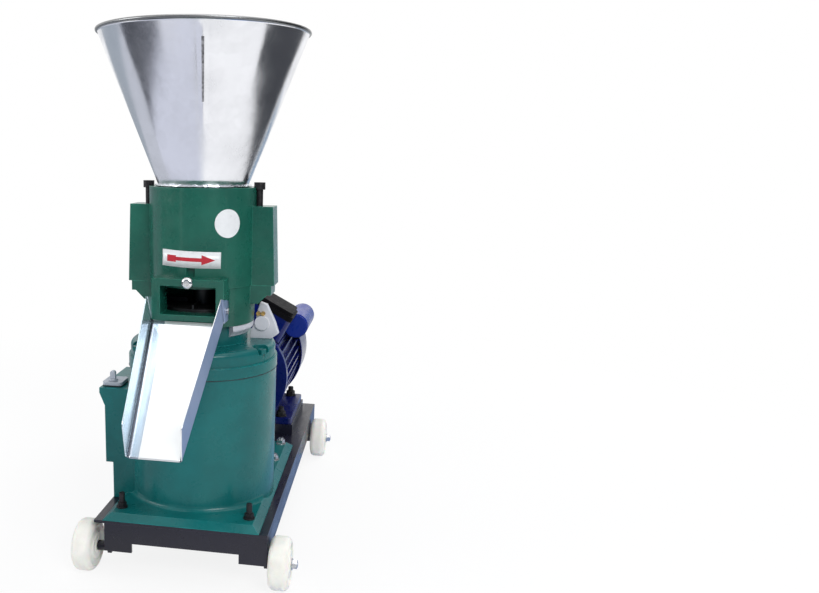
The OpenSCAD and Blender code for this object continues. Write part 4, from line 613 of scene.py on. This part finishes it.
def makeChute(s):
    # rows run down the slope; columns run from the left wall's top, round the fold, to the floor's middle
    q = np.unique(np.concatenate([np.linspace(0, s["cutShare"], s["bodyRows"]),
                                  np.linspace(s["cutShare"], 1, s["tipRows"])]))[:, None]
    wall = np.array(s["wallShares"])
    bend = np.linspace(0, math.pi / 2, s["foldPoints"])
    floor = np.array(s["floorShares"])
    wallShare = np.concatenate([wall, 0 * bend, 0 * floor])
    floorShare = np.concatenate([0 * wall, 0 * bend, floor])
    inward = np.concatenate([0 * wall, s["fold"] * (1 - np.cos(bend)), 0 * floor + s["fold"]])
    lift = np.concatenate([0 * wall + s["fold"], s["fold"] * (1 - np.sin(bend)), 0 * floor])
    half = s["topHalf"] + (s["tipHalf"] - s["topHalf"]) * q
    drop = np.clip((1 - q) / (1 - s["cutShare"]), 0, 1)
    wallTop = s["tipWall"] + (s["wall"] - s["tipWall"]) * drop
    across = half - inward - floorShare * (half - s["fold"])
    above = lift + wallShare * (wallTop - s["fold"])
    along = s["length"] * q - s["rise"] * above / s["wall"] * (1 - q)
    above = above + (s["wave"] * floorShare ** 2 * np.sin(s["waveHalves"] * np.pi * q + s["wavePhase"])
                     * np.sin(np.pi * q))
    # the right half mirrors the left
    across = np.concatenate([-across, across[:, -2::-1]], axis=1)
    along, above = (np.concatenate([a, a[:, -2::-1]], axis=1) for a in (along, above))

    def placed(u, v, w):
        # lengths down the slope, across and square to the sheet, turned by the slope
        turn = math.radians(s["slope"])
        return np.stack([v, -s["back"] - u * math.cos(turn) - w * math.sin(turn),
                         s["height"] - u * math.sin(turn) + w * math.cos(turn)], -1)

    rows, columns = across.shape
    sheet = placed(along, across, above).reshape(-1, 3)
    faces = [gridFaces(rows, columns)]
    points = [sheet]
    start = len(sheet)
    reach = np.linspace(0, 1, s["cheekRows"])[:, None]
    share = np.array(s["cheekShares"])
    for side in (-1, 1):
        front = placed(-s["rise"] * share, side * s["topHalf"] + 0 * share, s["wall"] * share)
        rear = np.column_stack([side * s["topHalf"] + 0 * share, -s["cheekBack"] + 0 * share,
                                s["height"] + s["cheekHeight"] * share])
        cheek = (front + (rear - front) * reach[:, :, None]).reshape(-1, 3)
        quads = gridFaces(len(reach), len(share), start=start)
        faces.append(quads if side < 0 else quads[:, ::-1])
        points.append(cheek)
        start += len(cheek)
    piece = putMesh("foldedChute", onShaft(np.concatenate(points)), np.concatenate(faces)[:, ::-1],
                    "chuteZinc", "machine")
    # slots: the sheet and three finishes read off the photo's tones, which paint reflections on the
    # folds, the left wall and the floor strip beside it, then the outer side's painted shade for each
    ownFinishes = ("foldPaintedReflection", "wallPaintedReflection", "stripPaintedReflection")
    inner = 1 + len(ownFinishes)
    for other in ownFinishes + ("chuteOuterPaintedShade",) * inner:
        piece.data.materials.append(finishes[other])
    column = np.arange(len(faces[0])) % (columns - 1)
    mirrored = np.minimum(column, columns - 2 - column)

    def within(index, span):
        return (index >= span[0]) & (index < span[1])

    # in the same order: the painted dark reflection in both folds, the painted reflection on the left
    # wall, and the painted reflection on the strip of floor beside it
    own = np.select([within(mirrored, s["foldColumns"]), within(column, s["wallColumns"]),
                     within(column, s["stripColumns"])], list(range(1, inner)), 0)
    # the left cheek carries on the wall's painted reflection
    leftCheek = np.full(len(faces[1]), 1 + ownFinishes.index("wallPaintedReflection"))
    rightCheek = np.zeros(len(faces[2]), dtype=int)
    slots = np.concatenate([own, leftCheek, rightCheek]).astype(np.int32)
    piece.data.polygons.foreach_set("material_index", slots)
    thick = piece.modifiers.new("sheet", "SOLIDIFY")
    thick.thickness = s["sheet"] * mm
    thick.offset = -1
    thick.material_offset = inner
    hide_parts("chute")


makeChute(chuteSizes)
print("chute made")


# the bracket's saddle: a cast flare round the right of the gearbox's neck, just under the casing
saddleSizes = {
    "neckRadius": 66.0,
    "low": 339.0,
    "high": 355.4,
    "first": 47.0,          # degrees right of straight ahead
    "last": 101.0,
    "columns": 40,
    # the flare's outer profile: how far it stands out, and the share of its height
    "out": [0.4, 1.6, 2.4, 4.2, 6.6, 8.4, 8.9, 8.9, 8.2, 0.4],
    "up": [0, 0.02, 0.12, 0.26, 0.38, 0.5, 0.6, 0.93, 1, 1],
    "edge": 0.7,            # width of the softened edges
    "edgeAngle": 40,        # degrees; flatter corners stay as they are
}


def makeSaddle(s):
    # rows run round the neck, columns along the profile and back over its top
    out = np.array(s["out"])
    up = np.array(s["up"]) * (s["high"] - s["low"])
    turn = np.radians(np.linspace(s["first"], s["last"], s["columns"]))[:, None]
    points = aroundShaft(s["neckRadius"] + out, turn, s["low"] + up).reshape(-1, 3)
    quads = gridFaces(s["columns"], len(out), False, True)[:, ::-1].tolist()
    firstEnd = list(range(len(out)))[::-1]
    lastEnd = list(range(len(points) - len(out), len(points)))
    piece = putMesh("bracketSaddle", onShaft(points), quads + [firstEnd, lastEnd], "bracketGrey",
                    "machine", False)
    soft = piece.modifiers.new("soft", "BEVEL")
    soft.width = s["edge"] * mm
    soft.segments = 2
    soft.limit_method = "ANGLE"
    soft.angle_limit = math.radians(s["edgeAngle"])


makeSaddle(saddleSizes)
print("saddle made")


# a rippled bead of sealant where the hopper sits on the casing
beadSizes = {
    "radius": 68.6,
    "height": 549.6,
    "thick": 1.1,
    "flatness": 0.9,        # the bead's height as a share of its width
    "ripple": 0.45,
    "ripples": [(37, 0, 0, 0.4), (23, 1, 0, 0.35), (61, 0, 0, 0.25)],
    "columns": 220,
    "sides": 8,
}


def makeBead(s):
    turn = np.linspace(-math.pi, math.pi, s["columns"], endpoint=False)[:, None]
    walk = np.linspace(0, 2 * math.pi, s["sides"], endpoint=False)
    thick = s["thick"] + s["ripple"] * ripples(s["ripples"], turn)
    tall = thick * s["flatness"]
    radius = s["radius"] + thick * np.cos(walk)
    points = aroundShaft(radius, turn, s["height"] + tall + tall * np.sin(walk)).reshape(-1, 3)
    faces = gridFaces(s["columns"], s["sides"], True, True)[:, ::-1]
    putMesh("hopperBead", onShaft(points), faces, "beadZinc", "feed_hopper")


makeBead(beadSizes)
print("bead made")


# bare round sticker and the white label with a plain arrow, both bent round the upper casing
stickerSizes = {
    "casingRadius": 78.0,
    "turn": 38.8,           # degrees right of straight ahead
    "height": 501.4,
    "radius": 19.6,
    "film": 0.18,
    "rings": [0.001, 0.3, 0.6, 0.85, 0.985, 1.0, 1.0],    # shares of the radius
    "lifts": [1, 1, 1, 1, 1, 0.8, 0.05],                  # shares of the film's thickness
    "sides": 64,
}
labelSizes = {
    "casingRadius": 78.0,
    "halfLength": 44.2,     # along the casing's curve
    "middle": -1.8,
    "low": 440.6,
    "high": 463.6,
    "film": 0.18,
    "edge": 0.05,           # share of the film's thickness at its turned-down edges
    "columns": 41,
    "tilt": -1.4,           # degrees
    "arrowStart": -35.0,
    "arrowTail": -20.0,
    "arrowNeck": 17.0,
    "arrowTip": 36.0,
    "tailHalf": 4.6,
    "shaftHalf": 2.6,
    "headHalf": 7.0,
    "tipHalf": 0.02,
    "arrowPoints": (10, 16, 12),    # along the tail, the shaft and the head
    "arrowStep": 0.01,              # length over which the width jumps
    "arrowShares": [-1, -0.4, 0.4, 1],
    "inkLift": 1.6,                 # height of the print above the casing, in films
}


def makeSticker(s):
    # rings of a flat disc, with the edge turned down to the paint, wrapped round the casing
    rho = np.array(s["rings"])[:, None] * s["radius"]
    lift = np.array(s["lifts"])[:, None] * s["film"]
    phi = np.linspace(0, 2 * math.pi, s["sides"], endpoint=False)
    turn = math.radians(s["turn"]) + rho * np.cos(phi) / s["casingRadius"]
    points = aroundShaft(s["casingRadius"] + lift, turn, s["height"] + rho * np.sin(phi)).reshape(-1, 3)
    faces = gridFaces(len(s["rings"]), s["sides"], False, True)[:, ::-1]
    putMesh("roundSticker", onShaft(points), faces, "labelWhite", "machine")


def makeLabel(s):
    # flat places along and up the film are turned by the tilt, then wrapped round the casing
    tilt = math.radians(s["tilt"])
    middle = (s["low"] + s["high"]) / 2

    def wrapped(along, up, lift):
        u = s["middle"] + along * math.cos(tilt) - up * math.sin(tilt)
        v = middle + along * math.sin(tilt) + up * math.cos(tilt)
        return onShaft(aroundShaft(s["casingRadius"] + lift, u / s["casingRadius"], v).reshape(-1, 3))

    # a rectangle with its edges turned down to the paint
    edge = s["edge"]
    along = np.concatenate([[-1], np.linspace(-1, 1, s["columns"]), [1]]) * s["halfLength"]
    up = np.array([-1, -1, 1, 1])[:, None] * (s["high"] - s["low"]) / 2
    endLift = np.concatenate([[edge], np.ones(s["columns"]), [edge]])
    sideLift = np.array([edge, 1, 1, edge])[:, None]
    putMesh("arrowLabel", wrapped(along, up, s["film"] * np.minimum(sideLift, endLift)),
            gridFaces(4, len(along)), "labelWhite", "machine")
    # the arrow's half height: wide at the tail, even along the shaft, then barb to tip
    tail, shaft, head = s["arrowPoints"]
    along = np.concatenate([np.linspace(s["arrowStart"], s["arrowTail"], tail),
                            np.linspace(s["arrowTail"] + s["arrowStep"], s["arrowNeck"], shaft),
                            np.linspace(s["arrowNeck"] + s["arrowStep"], s["arrowTip"], head)])
    taper = (s["arrowTip"] - along) / (s["arrowTip"] - s["arrowNeck"])
    half = np.select([along <= s["arrowTail"], along <= s["arrowNeck"]], [s["tailHalf"], s["shaftHalf"]],
                     s["headHalf"] * taper + s["tipHalf"])
    side = np.array(s["arrowShares"])[:, None]
    putMesh("arrowPrint", wrapped(along, side * half, s["film"] * s["inkLift"]),
            gridFaces(len(side), len(along)), "arrowRed", "machine")


makeSticker(stickerSizes)
makeLabel(labelSizes)
print("sticker and label made")


# the paper gasket that shows as a dark line between the gearbox and its lid; its near-black tone is
# partly a painted shadow under the lid's band
gasketSizes = {
    "radius": 110.9,
    "height": 287.7,
    "thick": 0.55,
    "uneven": [(19, 0, 0, 0.15), (41, 2, 0, 0.1)],
    "columns": 160,
    "sides": 6,
}


def makeLidGasket(s):
    turn = np.linspace(-math.pi, math.pi, s["columns"], endpoint=False)[:, None]
    walk = np.linspace(0, 2 * math.pi, s["sides"], endpoint=False)
    radius = s["radius"] + ripples(s["uneven"], turn) + s["thick"] * np.cos(walk)
    points = aroundShaft(radius, turn, s["height"] + s["thick"] * np.sin(walk)).reshape(-1, 3)
    faces = gridFaces(s["columns"], s["sides"], True, True)[:, ::-1]
    putMesh("lidGasket", onShaft(points), faces, "gasketSheet", "machine")


makeLidGasket(gasketSizes)


# cut threads on the studs that stand clear of their nuts
threadSizes = {
    "sides": 12,
    "root": 0.02,           # how far the grooves stand off the stud
    "crest": 0.28,          # how far the crests do, as a share of the pitch
    "tipInset": 0.3,
    "studs": [
        # name, places across and along, foot, top, radius, pitch
        ("anchorThreads", [(-93.5, -114), (93.5, -114)], 102.0, 115.9, 4.0, 1.6),
        ("motorThreads", [(-80, 295), (80, 295), (-80, 435), (80, 435)], 126.2, 133.9, 5.0, 1.8),
    ],
}


def makeThreads(s):
    # rings that step out and in along the stud, each turned on by its own height for the helix
    walk = np.linspace(0, 2 * math.pi, s["sides"], endpoint=False)
    for name, places, foot, top, core, pitch in s["studs"]:
        rows = int((top - foot) / pitch * 2) + 1
        row = np.arange(rows)[:, None]
        out = np.where(row % 2 == 0, s["root"], pitch * s["crest"])
        out[-1] = -s["tipInset"]
        # the first row and the last two stay level
        climb = pitch * walk / (2 * math.pi) * (row < rows - 2) * (row > 0)
        height = np.minimum(foot + row * pitch / 2 + climb, top)
        radius = core + out
        one = np.stack([radius * np.cos(walk), radius * np.sin(walk), height], -1).reshape(-1, 3)
        faces = gridFaces(rows, s["sides"], False, True)
        points = np.concatenate([one + [x, y, 0] for x, y in places])
        quads = np.concatenate([faces + i * len(one) for i in range(len(places))])
        putMesh(name, onShaft(points), quads, "blackOxide", "machine")


makeThreads(threadSizes)
print("gasket and threads made")


# lengths in metres; tones and colours are linear
studio = {
    "floorSize": 12.0,
    "floorColour": (0.86, 0.86, 0.87),
    "floorRough": 0.9,
    "floorShine": 0.1,
    "whiteShare": (0.86, 1.0),  # how much of the floor shows plain white, by the machine and far off
    "whiteReach": (0.35, 1.5),  # metres from the machine over which that changes
    "worldColour": (0.95, 0.97, 1.0),
    "worldStrength": 0.5,
    "lamps": [
        # name, place, size, watts, aimed at
        ("keyLamp", (1.15, -1.9, 1.75), 1.2, 30, (0.0, -0.1, 0.4)),
        ("fillLamp", (-2.1, -1.0, 1.2), 1.4, 16, (0.0, -0.1, 0.4)),
        ("topLamp", (0.0, 0.1, 2.6), 1.9, 20, (0.0, 0.0, 0.4)),
        ("rimLamp", (1.6, 1.6, 1.3), 1.2, 18, (0.0, 0.1, 0.3)),
    ],
    "cardColumns": 25,
    "cards": [
        # name, first and last azimuth right of straight ahead, radius and height of one long edge, then
        # of the other, tone
        ("darkRight", 84, 146, 1.35, 0.0, 1.35, 1.6, (0.058, 0.061, 0.069)),
        ("darkLeft", -84, -36, 1.35, 0.0, 1.35, 0.62, (0.075, 0.08, 0.095)),
        ("dimFront", -32, 60, 2.6, 0.05, 2.6, 1.6, (0.10, 0.13, 0.17)),
        ("dimRight", 62, 84, 2.2, 0.05, 2.2, 1.3, (0.12, 0.15, 0.20)),
        ("dimLeft", -172, -84, 1.9, 0.2, 1.9, 0.62, (0.36, 0.40, 0.45)),
        ("paleLeft", -172, -84, 1.9, 0.0, 1.9, 0.2, (0.56, 0.58, 0.64)),
        ("paleLeftFloor", -172, -84, 0.9, 0.001, 1.9, 0.001, (0.56, 0.58, 0.64)),
        ("skyBack", 150, 168, 1.3, 0.0, 1.3, 0.5, (0.28, 0.38, 0.50)),
        ("frontFloor", -84, 3, 0.3, 0.002, 1.5, 0.002, (0.66, 0.68, 0.77)),
        ("frontFloorA", 3, 7, 0.3, 0.002, 1.5, 0.002, (0.72, 0.74, 0.81)),
        ("frontFloorB", 7, 11, 0.3, 0.002, 1.5, 0.002, (0.79, 0.81, 0.86)),
        ("frontFloorC", 11, 15, 0.3, 0.002, 1.5, 0.002, (0.87, 0.88, 0.91)),
        ("darkWedge", 8.6, 11.6, 0.82, 0.003, 1.0, 0.003, (0.10, 0.10, 0.12)),
        ("darkWedgeTop", 4, 17, 1.0, 0.003, 1.12, 0.003, (0.12, 0.12, 0.14)),
    ],
    "matHeight": 0.004,
    "mats": [
        # name, low and high across, low and high along, tone
        ("leftMat", -0.55, -0.12, -0.2, 1.3, (0.03, 0.06, 0.08)),
        ("rightMat", 0.125, 0.36, -0.3, 0.9, (0.30, 0.43, 0.72)),
    ],
}


def whiteToLens(tree, shader, white, share):
    # shows white to the camera, to glossy rays and through glass, and keeps the lit surface under it
    path = tree.nodes.new("ShaderNodeLightPath")
    most = path.outputs["Is Camera Ray"]
    for name in ("Is Glossy Ray", "Is Transmission Ray"):
        larger = tree.nodes.new("ShaderNodeMath")
        larger.operation = "MAXIMUM"
        tree.links.new(most, larger.inputs[0])
        tree.links.new(path.outputs[name], larger.inputs[1])
        most = larger.outputs["Value"]
    scaled = tree.nodes.new("ShaderNodeMath")
    scaled.operation = "MULTIPLY"
    if isinstance(share, float):
        scaled.inputs[1].default_value = share
    else:
        tree.links.new(share, scaled.inputs[1])
    tree.links.new(most, scaled.inputs[0])
    mix = tree.nodes.new("ShaderNodeMixShader")
    tree.links.new(scaled.outputs["Value"], mix.inputs[0])
    tree.links.new(shader, mix.inputs[1])
    tree.links.new(white, mix.inputs[2])
    return mix.outputs["Shader"]


def makeFloor(s):
    half = s["floorSize"] / 2
    mesh = bpy.data.meshes.new("studioFloor")
    corners = [(-half, -half, 0), (half, -half, 0), (half, half, 0), (-half, half, 0)]
    mesh.from_pydata(corners, [], [(0, 1, 2, 3)])
    floor = bpy.data.objects.new("studioFloor", mesh)
    scene.collection.objects.link(floor)
    material = bpy.data.materials.new("paleFloor")
    material.use_nodes = True
    tree = material.node_tree
    shader = tree.nodes["Principled BSDF"]
    shader.inputs["Base Color"].default_value = (*s["floorColour"], 1)
    shader.inputs["Roughness"].default_value = s["floorRough"]
    shader.inputs["Specular IOR Level"].default_value = s["floorShine"]
    white = tree.nodes.new("ShaderNodeEmission")
    white.inputs["Color"].default_value = (1, 1, 1, 1)
    white.inputs["Strength"].default_value = 1.0
    place = tree.nodes.new("ShaderNodeTexCoord")
    away = tree.nodes.new("ShaderNodeVectorMath")
    away.operation = "LENGTH"
    tree.links.new(place.outputs["Object"], away.inputs[0])
    fade = tree.nodes.new("ShaderNodeMapRange")
    for key, value in (("From Min", s["whiteReach"][0]), ("From Max", s["whiteReach"][1]),
                       ("To Min", s["whiteShare"][0]), ("To Max", s["whiteShare"][1])):
        fade.inputs[key].default_value = value
    tree.links.new(away.outputs["Value"], fade.inputs["Value"])
    mixed = whiteToLens(tree, shader.outputs["BSDF"], white.outputs["Emission"], fade.outputs["Result"])
    tree.links.new(mixed, tree.nodes["Material Output"].inputs["Surface"])
    mesh.materials.append(material)


def makeWorld(s):
    world = bpy.data.worlds.new("studioWorld")
    scene.world = world
    world.use_nodes = True
    tree = world.node_tree
    soft = tree.nodes["Background"]
    soft.inputs["Color"].default_value = (*s["worldColour"], 1)
    soft.inputs["Strength"].default_value = s["worldStrength"]
    white = tree.nodes.new("ShaderNodeBackground")
    white.inputs["Color"].default_value = (1, 1, 1, 1)
    white.inputs["Strength"].default_value = 1.0
    mixed = whiteToLens(tree, soft.outputs["Background"], white.outputs["Background"], 1.0)
    tree.links.new(mixed, tree.nodes["World Output"].inputs["Surface"])


def makeLamps(s):
    for name, place, size, watts, target in s["lamps"]:
        data = bpy.data.lights.new(name, "AREA")
        data.shape = "DISK"
        data.size = size
        data.energy = watts
        lamp = bpy.data.objects.new(name, data)
        lamp.location = place
        lamp.rotation_euler = (Vector(target) - Vector(place)).to_track_quat("-Z", "Y").to_euler()
        scene.collection.objects.link(lamp)


def makeCard(name, points, tone):
    # a strip between two rows of points that glows in one tone
    mesh = bpy.data.meshes.new(name)
    mesh.from_pydata(points.tolist(), [], gridFaces(2, len(points) // 2).tolist())
    card = bpy.data.objects.new(name, mesh)
    scene.collection.objects.link(card)
    material = bpy.data.materials.new(name)
    material.use_nodes = True
    tree = material.node_tree
    glow = tree.nodes.new("ShaderNodeEmission")
    glow.inputs["Color"].default_value = (*tone, 1)
    tree.links.new(glow.outputs["Emission"], tree.nodes["Material Output"].inputs["Surface"])
    tree.nodes.remove(tree.nodes["Principled BSDF"])
    mesh.materials.append(material)
    card.visible_camera = False
    card.visible_diffuse = False
    card.visible_shadow = False
    card.visible_transmission = False


def makeCards(s):
    # plain cards that only mirror-like rays see, which give glossy paint and zinc something to reflect;
    # their places and tones were matched to the photo from its own angle
    for name, first, last, nearRadius, nearHeight, farRadius, farHeight, tone in s["cards"]:
        turn = np.radians(np.linspace(first, last, s["cardColumns"]))
        reach = np.array([[nearRadius], [farRadius]])
        height = np.array([[nearHeight], [farHeight]]) + 0 * turn
        points = np.stack([np.sin(turn) * reach, shaftY - np.cos(turn) * reach, height], -1)
        makeCard(name, points.reshape(-1, 3), tone)
    for name, left, right, front, back, tone in s["mats"]:
        corners = [[left, front], [right, front], [left, back], [right, back]]
        makeCard(name, np.array([corner + [s["matHeight"]] for corner in corners]), tone)


makeFloor(studio)
makeWorld(studio)
makeLamps(studio)
makeCards(studio)
print("studio ready")
